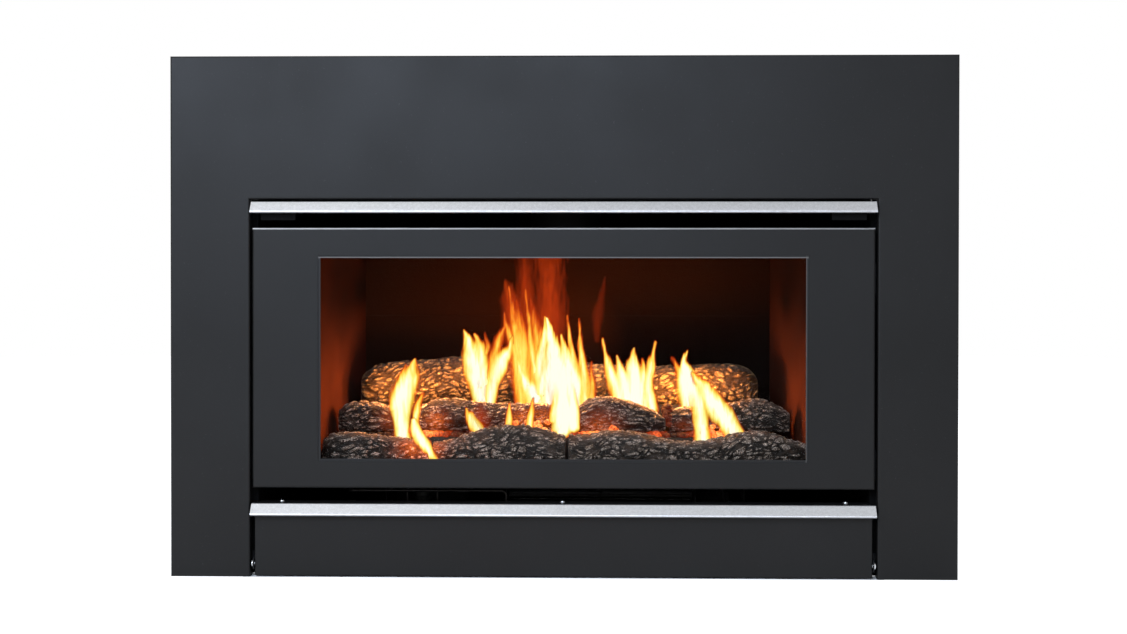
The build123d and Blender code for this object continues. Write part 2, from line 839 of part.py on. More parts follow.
# ---------------------------------------------------------------- bars and lower panel
def bar_section(bottom):
    """The louvre bar: an inclined face folded from sheet, open underneath."""
    top = bottom + bar_rise
    front_top = bar_back - 2 * bar_sheet
    front_low = front_top - bar_lean
    outer = outline((bar_back, bottom + bar_underside), (bar_back, top), (front_top, top),
                    (front_low, bottom))
    nose = outer.vertices().sort_by(Axis.X)[0]
    outer = fillet(nose, bar_radius)
    crown = [v for v in outer.vertices() if abs(v.Y - top) < 0.01 and v.X < bar_back - 1]
    outer = fillet(crown, bar_radius)
    inner = offset(outer, amount=-bar_sheet, kind=Kind.INTERSECTION)
    slot_rear = bar_back - bar_sheet
    slot_front = slot_rear - bar_slot
    slot = outline((slot_rear, bottom - 1), (slot_rear, bottom + 2 * bar_underside),
                   (slot_front, bottom + 2 * bar_underside), (slot_front, bottom - 1))
    return outer - inner - slot


def bar(bottom):
    return across(bar_section(bottom), -bar_width / 2, bar_width / 2)


def bracket(x, shelf_top, low, reach, gusset):
    """A folded bracket: a shelf that runs back, and a leg down behind the bar."""
    h = half_sheet
    front = bar_back + h
    section = folded([(reach, shelf_top - h), (front, shelf_top - h), (front, low)])
    left, right = x - bracket_width / 2, x + bracket_width / 2
    part = across(section, left, right)
    if gusset:
        web = outline((bar_back + sheet, low + 1), (bar_back + sheet, shelf_top - sheet),
                      (bar_back + sheet + gusset_reach, shelf_top - sheet))
        part += across(web, right - sheet, right)
    return part


def top_bar_brackets():
    low = top_bar_bottom - bracket_hang
    return [bracket(x, case_ceiling, low, top_bracket_reach, True)
            for x in (-bracket_x, bracket_x)]


def lower_bar_brackets():
    parts = []
    for x in (-bracket_x, 0, bracket_x):
        part = bracket(x, panel_top - sheet, lower_bar_bottom + bar_underside + 1,
                       bar_bracket_reach, False)
        hole = rod_z(screw_radius + screw_clearance, x, screw_y, panel_top - 4 * sheet, panel_top)
        parts.append(part - hole)
    return parts


def bar_screws():
    return [pan_screw_z(x, screw_y, panel_top, 5 * sheet) for x in (-bracket_x, 0, bracket_x)]


def lower_panel():
    half = panel_width / 2
    rear = door_rear
    shell = inward(rectangle(panel_width, panel_bottom, panel_top), door_face, rear)
    # its lower rear corners swing past the front of the case
    shell = chamfer(shell.faces().sort_by(Axis.Y)[-1].edges().sort_by(Axis.Z)[0], panel_corner)
    edges = [e for e in shell.faces().sort_by(Axis.Y)[0].edges() if e.center().Z < panel_top - 1]
    shell = fillet(edges, bend - half_sheet)
    shell -= block(-half + sheet, half - sheet, door_back, rear + 1, panel_bottom + sheet,
                   panel_top - sheet)
    # the bottom return is shallow, so that it clears the hearth as the panel turns
    shell -= block(-half + sheet, half - sheet, door_face + panel_foot, rear + 1, 0,
                   panel_bottom + sheet)
    shelf = case_inner - 2 * fold_gap
    shell += block(-shelf, shelf, rear, door_face + shelf_depth, panel_top - sheet, panel_top)
    # strikes for the magnets
    z = panel_magnet_height
    strike = block(panel_magnet_x - magnet_radius - 1, half - sheet, rear - sheet, rear,
                   z - strike_height / 2, z + strike_height / 2)
    hole = rod_x(hinge_pin_radius + fit, half - sheet - 1, half + 1, hinge_y, hinge_height)
    for part in both_sides(strike):
        shell += part
    for part in both_sides(hole):
        shell -= part
    slot_high = panel_top - sheet
    for x in (-bracket_x, 0, bracket_x):
        shell -= block(x - bracket_width / 2 - fold_gap, x + bracket_width / 2 + fold_gap,
                       door_face - 1, door_back, slot_high - sheet - bend, slot_high)
        shell -= rod_z(screw_radius + screw_clearance, x, screw_y, panel_top - 2 * sheet,
                       panel_top + 1)
    return shell


def hinge_brackets():
    """Plates outside the case that carry the panel's pins beside its ends."""
    x0 = case_width / 2
    r, neck = hinge_plate_radius, 6
    half = hinge_plate_height / 2
    plate = Pos(hinge_y, hinge_height) * Circle(r)
    plate += outline((hinge_y, hinge_height - r), (case_front, hinge_height - r),
                     (case_front, hinge_height + half), (case_front - neck, hinge_height + half),
                     (hinge_y, hinge_height + r))
    part = across(plate, x0, x0 + sheet)
    # its foot lies on the front of the case flange
    part += block(x0, x0 + case_flange - 2, case_front - sheet, case_front, hinge_height - r,
                  hinge_height + half)
    part -= rod_x(hinge_pin_radius, x0 - 1, x0 + sheet + 1, hinge_y, hinge_height)
    return both_sides(part)


def panel_hinge_pins():
    outside = case_width / 2 + sheet
    inside = panel_width / 2 - sheet - 1
    pin = rod_x(hinge_pin_radius, inside, outside, hinge_y, hinge_height)
    head = rod_x(hinge_head_radius, outside, outside + hinge_head, hinge_y, hinge_height)
    head = fillet(head.faces().sort_by(Axis.X)[-1].edges(), hinge_head * 0.5)
    return both_sides(pin + head)


# ---------------------------------------------------------------- magnets
def magnets():
    discs = []
    face = surround_face + sheet
    for z in surround_magnet_heights:
        discs += both_sides(rod_y(magnet_radius, surround_magnet_x, face, face + magnet_height, z))
    start = door_rear + shut_gap
    discs += both_sides(rod_y(magnet_radius, panel_magnet_x, start, start + magnet_height,
                              panel_magnet_height))
    return discs


def magnet_brackets():
    """Stepped arms that hold the surround, and small angles that hold the panel shut."""
    h = half_sheet
    foot = case_width / 2 + 1
    pass_y = case_front - h
    seat = surround_face + sheet + magnet_height + h
    step_x = opening_width / 2 + arm_step
    arm = folded([(foot, pass_y), (step_x, pass_y), (step_x, seat),
                  (surround_magnet_x + magnet_radius + 4, seat)])
    parts = []
    half = 2 * magnet_radius
    for z in surround_magnet_heights:
        parts += both_sides(upright(arm, z - half, z + half))
    seat = door_rear + shut_gap + magnet_height + h
    wall = case_inner - h
    z = panel_magnet_height
    angle = folded([(wall, angle_reach), (wall, seat), (panel_magnet_x - magnet_radius, seat)])
    return parts + both_sides(upright(angle, z - magnet_radius, z + magnet_radius))


# ---------------------------------------------------------------- controls
def control_plate():
    h = half_sheet
    section = folded([(control_y + h, control_top), (control_y + h, sheet + h),
                      (control_y + control_foot, sheet + h)])
    plate = across(section, control_left, control_right)
    y = (control_y - 1, control_y + sheet + 1)
    for x, radius in ((valve_x, spindle_collar()), (igniter_x, igniter_neck()),
                      (fan_control_x, spindle_collar())):
        plate -= rod_y(radius + fit, x, *y, control_height)
    return plate


def spindle_collar():
    """Radius of the threaded neck that clamps a control to its plate."""
    return spindle_radius + 3


def spindle(x):
    """The neck through the plate and the spindle that carries a knob."""
    neck = rod_y(spindle_collar(), x, control_y - neck_length, control_y + sheet, control_height)
    return neck + rod_y(spindle_radius, x, control_nose + 6, control_y, control_height)


def gas_valve():
    x, z = valve_x, control_height
    y = control_y + sheet
    top = z + valve_half_height
    half = valve_half_width
    body = block(x - half, x + half, y, y + valve_depth, z - valve_half_height, top)
    body = chamfer(body.edges().filter_by(Axis.Y), 5)
    body += spindle(x)
    body += rod_x(9, x - half - valve_inlet, x - half, y + valve_depth / 2, inlet_height)
    body += rod_y(8, x, y + valve_depth, y + valve_depth + valve_outlet, z - outlet_drop)
    body += rod_z(6, x - pilot_stub_x, y + pilot_stub_y, top, top + pilot_stub)
    solenoid_radius, solenoid_height = 14, 12
    body += rod_z(solenoid_radius, x + 10, y + valve_depth / 2, top, top + solenoid_height)
    return body


def knob(x, radius, grip):
    """A skirted knob with a raised grip bar, bored for its spindle."""
    z = control_height
    rear = control_y - neck_length - knob_gap
    front = control_nose
    skirt = 5
    body = rod_y(radius, x, rear - skirt, rear, z)
    body += rod_y(radius * 0.72, x, front + 2, rear - skirt, z)
    body = fillet(body.faces().sort_by(Axis.Y)[0].edges(), 1.2)
    reach = radius * 0.92
    ridge = block(x - grip / 2, x + grip / 2, front, rear - skirt, z - reach, z + reach)
    body += fillet(ridge.faces().sort_by(Axis.Y)[0].edges(), 1.0)
    return body - rod_y(spindle_radius + fit / 2, x, control_nose + 5, rear + 1, z)


def igniter_neck():
    return button_radius + 3


def igniter_parts():
    """The igniter's body behind the plate, and the button that slides in its neck."""
    x, z = igniter_x, control_height
    neck = igniter_neck()
    flange, bezel = 5, 6
    body = rod_y(neck, x, control_y - bezel, control_y + igniter_length, z)
    body += rod_y(neck + 4, x, control_y + sheet, control_y + sheet + flange, z)
    body += rod_y(neck + 3, x, control_y - bezel, control_y, z)
    stop = control_y + igniter_length / 3
    body -= rod_y(button_radius + fit, x, control_y - bezel - 1, stop, z)
    front = control_nose + 8
    button = rod_y(button_radius, x, front, stop - button_travel - 1, z)
    button = fillet(button.faces().sort_by(Axis.Y)[0].edges(), 2)
    return body, button


def speed_controller():
    x, z = fan_control_x, control_height
    y = control_y + sheet
    half_width, half_height, depth = 22, 18, 26
    body = block(x - half_width, x + half_width, y, y + depth, z - half_height, z + half_height)
    body = chamfer(body.edges().filter_by(Axis.Y), 3)
    return body + spindle(x)


# ---------------------------------------------------------------- gas and mains
def pipe(points, radius, corner):
    path = FilletPolyline(*points, radius=corner)
    start = Plane(origin=path @ 0, z_dir=path % 0)
    return sweep(start * Circle(radius), path=path)


def gas_pipes():
    back = control_y + sheet
    valve_left = valve_x - valve_half_width - valve_inlet
    y_in = back + valve_depth / 2
    supply = pipe([(inlet_x, case_rear_inner - union_reach, inlet_height),
                   (inlet_x, y_in, inlet_height), (valve_left, y_in, inlet_height)],
                  pipe_radius, 30)
    y_out = back + valve_depth + valve_outlet
    low = control_height - outlet_drop
    nozzle_low, nozzle_high = venturi_bottom - 14, venturi_bottom - 4
    feed = pipe([(valve_x, y_out, low), (valve_x, venturi_y, low), (venturi_x, venturi_y, low),
                 (venturi_x, venturi_y, nozzle_low)], pipe_radius, 11)
    injector = rod_z(7, venturi_x, venturi_y, nozzle_low, nozzle_high)
    injector += rod_z(3, venturi_x, venturi_y, nozzle_high, venturi_bottom)
    # a strap hangs the injector from the firebox floor
    left, right = venturi_x - strap_half, venturi_x + strap_half
    top = firebox_floor_top - sheet
    seat = (nozzle_low + nozzle_high) / 2 + 0.5
    strap = folded([(left, top), (left, seat), (right, seat), (right, top)])
    injector += inward(strap, venturi_y - 4, venturi_y + 4)
    stub_x, stub_y = valve_x - pilot_stub_x, back + pilot_stub_y
    high = control_height + valve_half_height + pilot_stub
    run = high + pilot_rise
    pilot = pipe([(stub_x, stub_y, high), (stub_x, stub_y, run), (pilot_x, stub_y, run),
                  (pilot_x, pilot_y, run), (pilot_x, pilot_y, firebox_floor_top)],
                 pilot_pipe_radius, 7)
    return [supply, feed + injector, pilot]


def gas_inlet_union():
    """The union on the back sheet: a nut inside, a locknut and the thread outside."""
    inner = case_rear_inner
    x, z = inlet_x, inlet_height
    half = inner_nut_length / 2
    nut = Pos(x, inner - half, z) * Rot(90, 0, 0)
    nut *= extrude(RegularPolygon(inlet_nut, 6), half, both=True)
    body = nut + rod_y(8, x, inner - union_reach, inner - inner_nut_length, z)
    body += rod_y(inlet_radius, x, inner, case_depth + inlet_reach, z)
    lock = Pos(x, case_depth + inlet_nut_length / 2, z) * Rot(90, 0, 0)
    body += lock * extrude(RegularPolygon(inlet_nut, 6), inlet_nut_length / 2, both=True)
    bore = rod_y(inlet_radius - 3, x, inner - 15, case_depth + inlet_reach + 1, z)
    return body - bore


def gland_thread():
    return gland_bore + 3


def cable_gland():
    x, z = gland_x, gland_height
    inner, outer = case_rear_inner, case_depth
    thread = gland_thread()
    nut = thread + 4
    ring = outline((gland_bore, inner - gland_nut), (nut, inner - gland_nut), (nut, inner),
                   (thread, inner), (thread, outer), (nut, outer), (nut, outer + 5),
                   (thread + 2, outer + 8), (thread, outer + gland_reach),
                   (gland_bore, outer + gland_reach))
    return Pos(x, 0, z) * Rot(-90, 0, 0) * revolve(Plane.XZ * ring, Axis.Z)


# ---------------------------------------------------------------- blower
def blower_right():
    return blower_left + blower_length


def blower_housing():
    y, z = blower_y, blower_height
    inner = wheel_radius + housing_gap
    outer = inner + housing_sheet
    scroll = Pos(y, z) * (Circle(outer) - Circle(inner))
    reach = 2 * outer
    # the sheet wraps under and behind the wheel; the front stays open as the inlet
    keep = outline((y, z), (y - 0.55 * reach, z - reach), (y + reach, z - reach), (y + reach, z))
    scroll = (scroll & keep) + outline((y + inner, z), (y + outer, z), (y + outer, outlet_top),
                                       (y + inner, outlet_top))
    lip = y - tongue_inset
    tongue_low = z + math.sqrt(inner ** 2 - tongue_inset ** 2)
    scroll += outline((lip, tongue_low), (lip + housing_sheet, tongue_low),
                      (lip + housing_sheet, outlet_top), (lip, outlet_top))
    left, right = blower_left - end_gap, blower_right() + end_gap
    hub = shaft_radius + 4
    part = across(scroll, left, right)
    plate = Pos(y, z) * Circle(outer)
    plate += outline((lip, z), (y + outer, z), (y + outer, outlet_top), (lip, outlet_top))
    plate += outline((y - outer, sheet), (y + outer, sheet), (y + outer, z), (y - outer, z))
    for x in (left - housing_sheet, right):
        end = across(plate, x, x + housing_sheet)
        end += rod_x(hub, x, x + housing_sheet, y, z)
        part += end
    bush_end = left - housing_sheet - bush_length
    part += rod_x(hub, bush_end, left, y, z)
    part -= rod_x(shaft_radius + fit / 2, bush_end - 1, left + 1, y, z)
    part -= rod_x(shaft_radius + 2, right - 1, right + housing_sheet + 1, y, z)
    # feet turned outward on the base
    for x in (left - housing_sheet - blower_foot, right + housing_sheet):
        part += block(x, x + blower_foot, y - outer, y + outer, sheet, 2 * sheet)
    return part


def blower_wheel():
    y, z = blower_y, blower_height
    inner = wheel_radius - blade_depth
    middle = (wheel_radius + inner) / 2
    curved = SlotArc(CenterArc((0, 0), blade_depth * 0.75, 40, 62), blade_thickness)
    curved = Pos(middle - blade_depth * 0.28, -blade_depth * 0.62) * curved
    sketch = Sketch() + [Rot(0, 0, 360 * i / blade_count) * curved for i in range(blade_count)]
    plane = Plane.YZ.offset(blower_left)
    part = extrude(plane * Pos(y, z) * sketch, amount=blower_length)
    for x in (blower_left, blower_left + blower_length / 2, blower_right() - disc_thickness):
        part += rod_x(wheel_radius, x, x + disc_thickness, y, z)
    left_end = blower_left - end_gap - housing_sheet - bush_length
    right_end = blower_right() + end_gap + housing_sheet + motor_gap + shaft_seat
    return part + rod_x(shaft_radius, left_end, right_end, y, z)


def blower_motor():
    y, z = blower_y, blower_height
    face = blower_right() + end_gap + housing_sheet + motor_gap
    rear = face + motor_length
    can = rod_x(motor_radius, face, rear, y, z)
    can = fillet(can.faces().sort_by(Axis.X)[-1].edges(), 4)
    can += rod_x(motor_radius * 0.45, rear, rear + 5, y, z)
    # a cradle stands on the base
    inset = 6
    cradle = outline((y - motor_radius, sheet), (y + motor_radius, sheet),
                     (y + motor_radius - inset, z), (y - motor_radius + inset, z))
    for x in (face + inset, rear - inset - motor_plate):
        can += across(cradle, x, x + motor_plate)
    fin_pitch, fin_width, fin_rise = 6, 2, 1.5
    for fin in range(3):
        x = face + 16 + fin_pitch * fin
        can += rod_x(motor_radius + fin_rise, x, x + fin_width, y, z)
    return can - rod_x(shaft_radius + fit / 2, face - 1, face + shaft_seat + 2, y, z)


# ---------------------------------------------------------------- write every piece
save("surround", surround())
save("case_base", case_base())
save("case_sides", *case_sides())
save("case_back", case_back())
save("case_top", case_top())
save("case_screws", *case_screws())
save("front_frame", front_frame())
save("firebox_floor", firebox_floor())
save("firebox_side_walls", *firebox_side_walls())
save("firebox_back_wall", firebox_back_wall())
save("firebox_top", firebox_top())
save("firebox_supports", *firebox_supports())
save("back_liners", *back_liners())
save("side_liners", *side_liners())
save("flue_baffle", flue_baffle())
save("flue_spigot", flue_spigot())
save("air_duct", air_duct())
save("burner_tray", burner_tray())
save("burner_venturi", burner_venturi())
save("pilot_burner", pilot_burner())
save("ember_bed", ember_bed())
for i, (name, stations) in enumerate(front_logs.items()):
    save(name, log(stations, firebox_floor_top, 1.3 * i))
for i, (name, stations) in enumerate(middle_logs.items()):
    save(name, log(stations, tray_low + ember_thickness, 4 + 1.3 * i))
save("rear_log", log(rear_log_stations, tray_high, 9))
save("door_frame", door_frame())
save("glass_frame", glass_frame())
save("glass_pane", glass_pane())
save("door_seals", *door_seals())
save("glass_clips", *glass_clips())
save("door_brackets", *door_brackets())
save("door_hangers", *door_hangers())
save("catch_forks", *catch_forks())
save("top_bar", bar(top_bar_bottom))
save("top_bar_brackets", *top_bar_brackets())
save("lower_panel", lower_panel())
save("lower_bar", bar(lower_bar_bottom))
save("lower_bar_brackets", *lower_bar_brackets())
save("bar_screws", *bar_screws())
save("hinge_brackets", *hinge_brackets())
save("panel_hinge_pins", *panel_hinge_pins())
save("magnets", *magnets())
save("magnet_brackets", *magnet_brackets())
save("control_plate", control_plate())
save("gas_valve", gas_valve())
save("valve_knob", knob(valve_x, knob_radius, 7))
igniter_body, igniter_button = igniter_parts()
save("piezo_igniter", igniter_body)
save("igniter_button", igniter_button)
save("speed_controller", speed_controller())
save("fan_speed_knob", knob(fan_control_x, fan_knob_radius, 5))
save("gas_pipes", *gas_pipes())
save("gas_inlet_union", gas_inlet_union())
save("cable_gland", cable_gland())
save("blower_housing", blower_housing())
save("blower_wheel", blower_wheel())
save("blower_motor", blower_motor())
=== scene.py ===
import math
import random

import bmesh
import bpy
from mathutils import Matrix, Vector, noise


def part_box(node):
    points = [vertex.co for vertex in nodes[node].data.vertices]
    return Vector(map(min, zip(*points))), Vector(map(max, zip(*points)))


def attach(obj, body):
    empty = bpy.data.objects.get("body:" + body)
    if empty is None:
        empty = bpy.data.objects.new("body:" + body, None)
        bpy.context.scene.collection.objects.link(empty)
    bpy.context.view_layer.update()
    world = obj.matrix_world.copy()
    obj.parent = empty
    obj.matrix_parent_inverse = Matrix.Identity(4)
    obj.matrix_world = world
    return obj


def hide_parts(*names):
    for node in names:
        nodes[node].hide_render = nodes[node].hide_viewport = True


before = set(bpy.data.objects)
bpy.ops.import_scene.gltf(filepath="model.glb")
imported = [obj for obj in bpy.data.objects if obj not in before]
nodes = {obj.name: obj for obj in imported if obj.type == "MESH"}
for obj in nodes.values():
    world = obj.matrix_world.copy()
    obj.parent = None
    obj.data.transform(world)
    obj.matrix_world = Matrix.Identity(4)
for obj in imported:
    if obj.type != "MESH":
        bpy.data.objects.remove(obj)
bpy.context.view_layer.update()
# noise_vector takes its offsets from this seed, and from the clock if there is none.
noise.seed_set(1)

# Lengths are in metres. Values that are given in millimetres are multiplied by MM.
MM = 0.001
WHITE = (1.0, 1.0, 1.0)
BLACK = (0.0, 0.0, 0.0)


# ---------------------------------------- objects and meshes
def add_object(name, data):
    """A new object in the scene."""
    made = bpy.data.objects.new(name, data)
    bpy.context.scene.collection.objects.link(made)
    return made


def shade_smooth(mesh):
    """Lets light run smoothly from face to face."""
    for face in mesh.polygons:
        face.use_smooth = True


def new_piece(name, points, faces, material, body="chassis"):
    """A smooth mesh that rides on a body."""
    mesh = bpy.data.meshes.new(name)
    mesh.from_pydata([tuple(p) for p in points], [], faces)
    shade_smooth(mesh)
    mesh.materials.append(material)
    piece = add_object(name, mesh)
    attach(piece, body)
    return piece


def set_attribute(piece, name, values):
    """Stores a number for each point. Materials read it by its name."""
    layer = piece.data.attributes.new(name, "FLOAT", "POINT")
    layer.data.foreach_set("value", values)


def smoothstep(low, high, value):
    """0 up to low, 1 from high on, and an S curve between them."""
    t = min(max((value - low) / (high - low), 0.0), 1.0)
    return t * t * (3 - 2 * t)


# ---------------------------------------- shader nodes
def link(tree, source, socket):
    """Joins an output to an input."""
    tree.links.new(source, socket)


def feed(tree, socket, value):
    """Gives an input its value: an output, a colour or a number."""
    if isinstance(value, bpy.types.NodeSocket):
        link(tree, value, socket)
    elif isinstance(value, tuple):
        socket.default_value = (*value, 1)
    else:
        socket.default_value = value


def new_node(tree, kind, **inputs):
    """A node with some of its inputs fed."""
    made = tree.nodes.new(kind)
    for name, value in inputs.items():
        feed(tree, made.inputs[name], value)
    return made


def maths(tree, operation, a, b):
    """The result of a Math node. Each side is an output or a number."""
    made = tree.nodes.new("ShaderNodeMath")
    made.operation = operation
    for socket, value in zip(made.inputs, (a, b)):
        feed(tree, socket, value)
    return made.outputs[0]


def map_range(tree, value, low, high, new_low, new_high):
    """New_low to new_high as value goes from low to high, and no further."""
    made = new_node(tree, "ShaderNodeMapRange", Value=value)
    for name, number in zip(("From Min", "From Max", "To Min", "To Max"),
                            (low, high, new_low, new_high)):
        made.inputs[name].default_value = number
    return made.outputs["Result"]


def position(tree):
    """The outputs X, Y and Z of the point that is shaded, in the object's own space."""
    coords = tree.nodes.new("ShaderNodeTexCoord")
    return new_node(tree, "ShaderNodeSeparateXYZ", Vector=coords.outputs["Object"]).outputs


def mix_shaders(tree, share, first, second):
    """The first shader where share is 0, the second where it is 1."""
    made = new_node(tree, "ShaderNodeMixShader", Fac=share)
    link(tree, first.outputs[0], made.inputs[1])
    link(tree, second.outputs[0], made.inputs[2])
    return made


def set_surface(tree, shader, output="ShaderNodeOutputMaterial"):
    """Makes a shader the one that the whole tree gives."""
    new_node(tree, output, Surface=shader.outputs[0])


def empty_material(name):
    """A material without a shader yet, and its tree."""
    material = bpy.data.materials.new(name)
    material.use_nodes = True
    material.node_tree.nodes.clear()
    return material, material.node_tree


# ---------------------------------------- camera, light and floor
def add_camera():
    """The camera as fitted to the edges in the photograph."""
    tilt_down, roll, turn_left = 0.64, -0.06, 1.43     # degrees
    data = bpy.data.cameras.new("camera")
    data.lens = 54.5
    data.sensor_width = 36.0
    data.sensor_fit = "HORIZONTAL"
    camera = add_object("camera", data)
    camera.location = (0.0581, -2.300, 0.3735)
    camera.rotation_euler = [math.radians(a) for a in (90 - tilt_down, roll, turn_left)]
    bpy.context.scene.camera = camera


# Studio lamps: name, place, the point they face, size, watts and colour.
STUDIO_LAMPS = (
    ("key_light", (-1.9, -2.6, 2.3), (0.0, 0.0, 0.35), (2.4, 2.0), 36, WHITE),
    ("fill_light", (2.2, -2.4, 1.6), (0.0, 0.0, 0.3), (2.0, 2.0), 4, WHITE),
    ("sheen_light", (-0.62, -2.35, 1.2), (-0.15, 0.0, 0.5), (2.1, 0.8), 54, (0.68, 0.80, 1.0)),
    ("back_light", (0.6, 2.8, 2.2), (0.0, 0.2, 0.3), (2.0, 2.0), 22, WHITE),
    ("bar_light", (-0.75, -0.25, 2.1), (-0.4, 0.0, 0.3), (1.5, 0.9), 3.2, WHITE),
)


def add_studio_lamps():
    """Large soft lamps. The camera does not see them, but glossy pieces do."""
    for name, place, target, size, watts, colour in STUDIO_LAMPS:
        data = bpy.data.lights.new(name, "AREA")
        data.shape = "RECTANGLE"
        data.size, data.size_y = size
        data.energy = watts
        data.color = colour
        lamp = add_object(name, data)
        lamp.location = place
        lamp.rotation_euler = (Vector(target) - Vector(place)).to_track_quat("-Z", "Y").to_euler()
        lamp.visible_camera = False


def background_rays(tree):
    """1 for the rays that see the background itself: camera, mirror and glass rays."""
    rays = tree.nodes.new("ShaderNodeLightPath").outputs
    camera_or_mirror = maths(tree, "MAXIMUM", rays["Is Camera Ray"], rays["Is Glossy Ray"])
    return maths(tree, "MAXIMUM", camera_or_mirror, rays["Is Transmission Ray"])


def set_world():
    """Soft, slightly blue room light, and plain white where the background is seen."""
    world = bpy.data.worlds.new("studio")
    bpy.context.scene.world = world
    world.use_nodes = True
    tree = world.node_tree
    tree.nodes.clear()
    room = new_node(tree, "ShaderNodeBackground", Color=(0.93, 0.96, 1.0), Strength=0.50)
    white = new_node(tree, "ShaderNodeBackground", Color=WHITE)
    set_surface(tree, mix_shaders(tree, background_rays(tree), room, white),
                "ShaderNodeOutputWorld")


def add_floor():
    """A pale disc. It glows a little where the product does not stand on it."""
    radius, corners = 9.0, 64
    drop = 0.0004     # below the product, so that no two faces lie in one plane
    mesh = bpy.data.meshes.new("floor")
    ring = [(radius * math.cos(a), radius * math.sin(a), -drop)
            for a in (math.tau * i / corners for i in range(corners))]
    mesh.from_pydata(ring, [], [list(range(corners))])
    floor = add_object("floor", mesh)
    material, tree = empty_material("pale_floor")
    matt = new_node(tree, "ShaderNodeBsdfDiffuse", Color=(0.90, 0.90, 0.90))
    glow = new_node(tree, "ShaderNodeEmission", Color=(0.66, 0.66, 0.66))
    both = tree.nodes.new("ShaderNodeAddShader")
    link(tree, matt.outputs[0], both.inputs[0])
    link(tree, glow.outputs[0], both.inputs[1])
    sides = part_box("case_sides")
    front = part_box("surround")[0].y
    place = position(tree)
    under = 1.0
    for axis, low, high in (("X", sides[0].x, sides[1].x), ("Y", front, sides[1].y)):
        for operation, limit in (("GREATER_THAN", low), ("LESS_THAN", high)):
            under = maths(tree, "MULTIPLY", maths(tree, operation, place[axis], limit), under)
    beside = maths(tree, "SUBTRACT", 1.0, under)
    lit = maths(tree, "MULTIPLY", background_rays(tree), beside)
    set_surface(tree, mix_shaders(tree, lit, matt, both))
    mesh.materials.append(material)


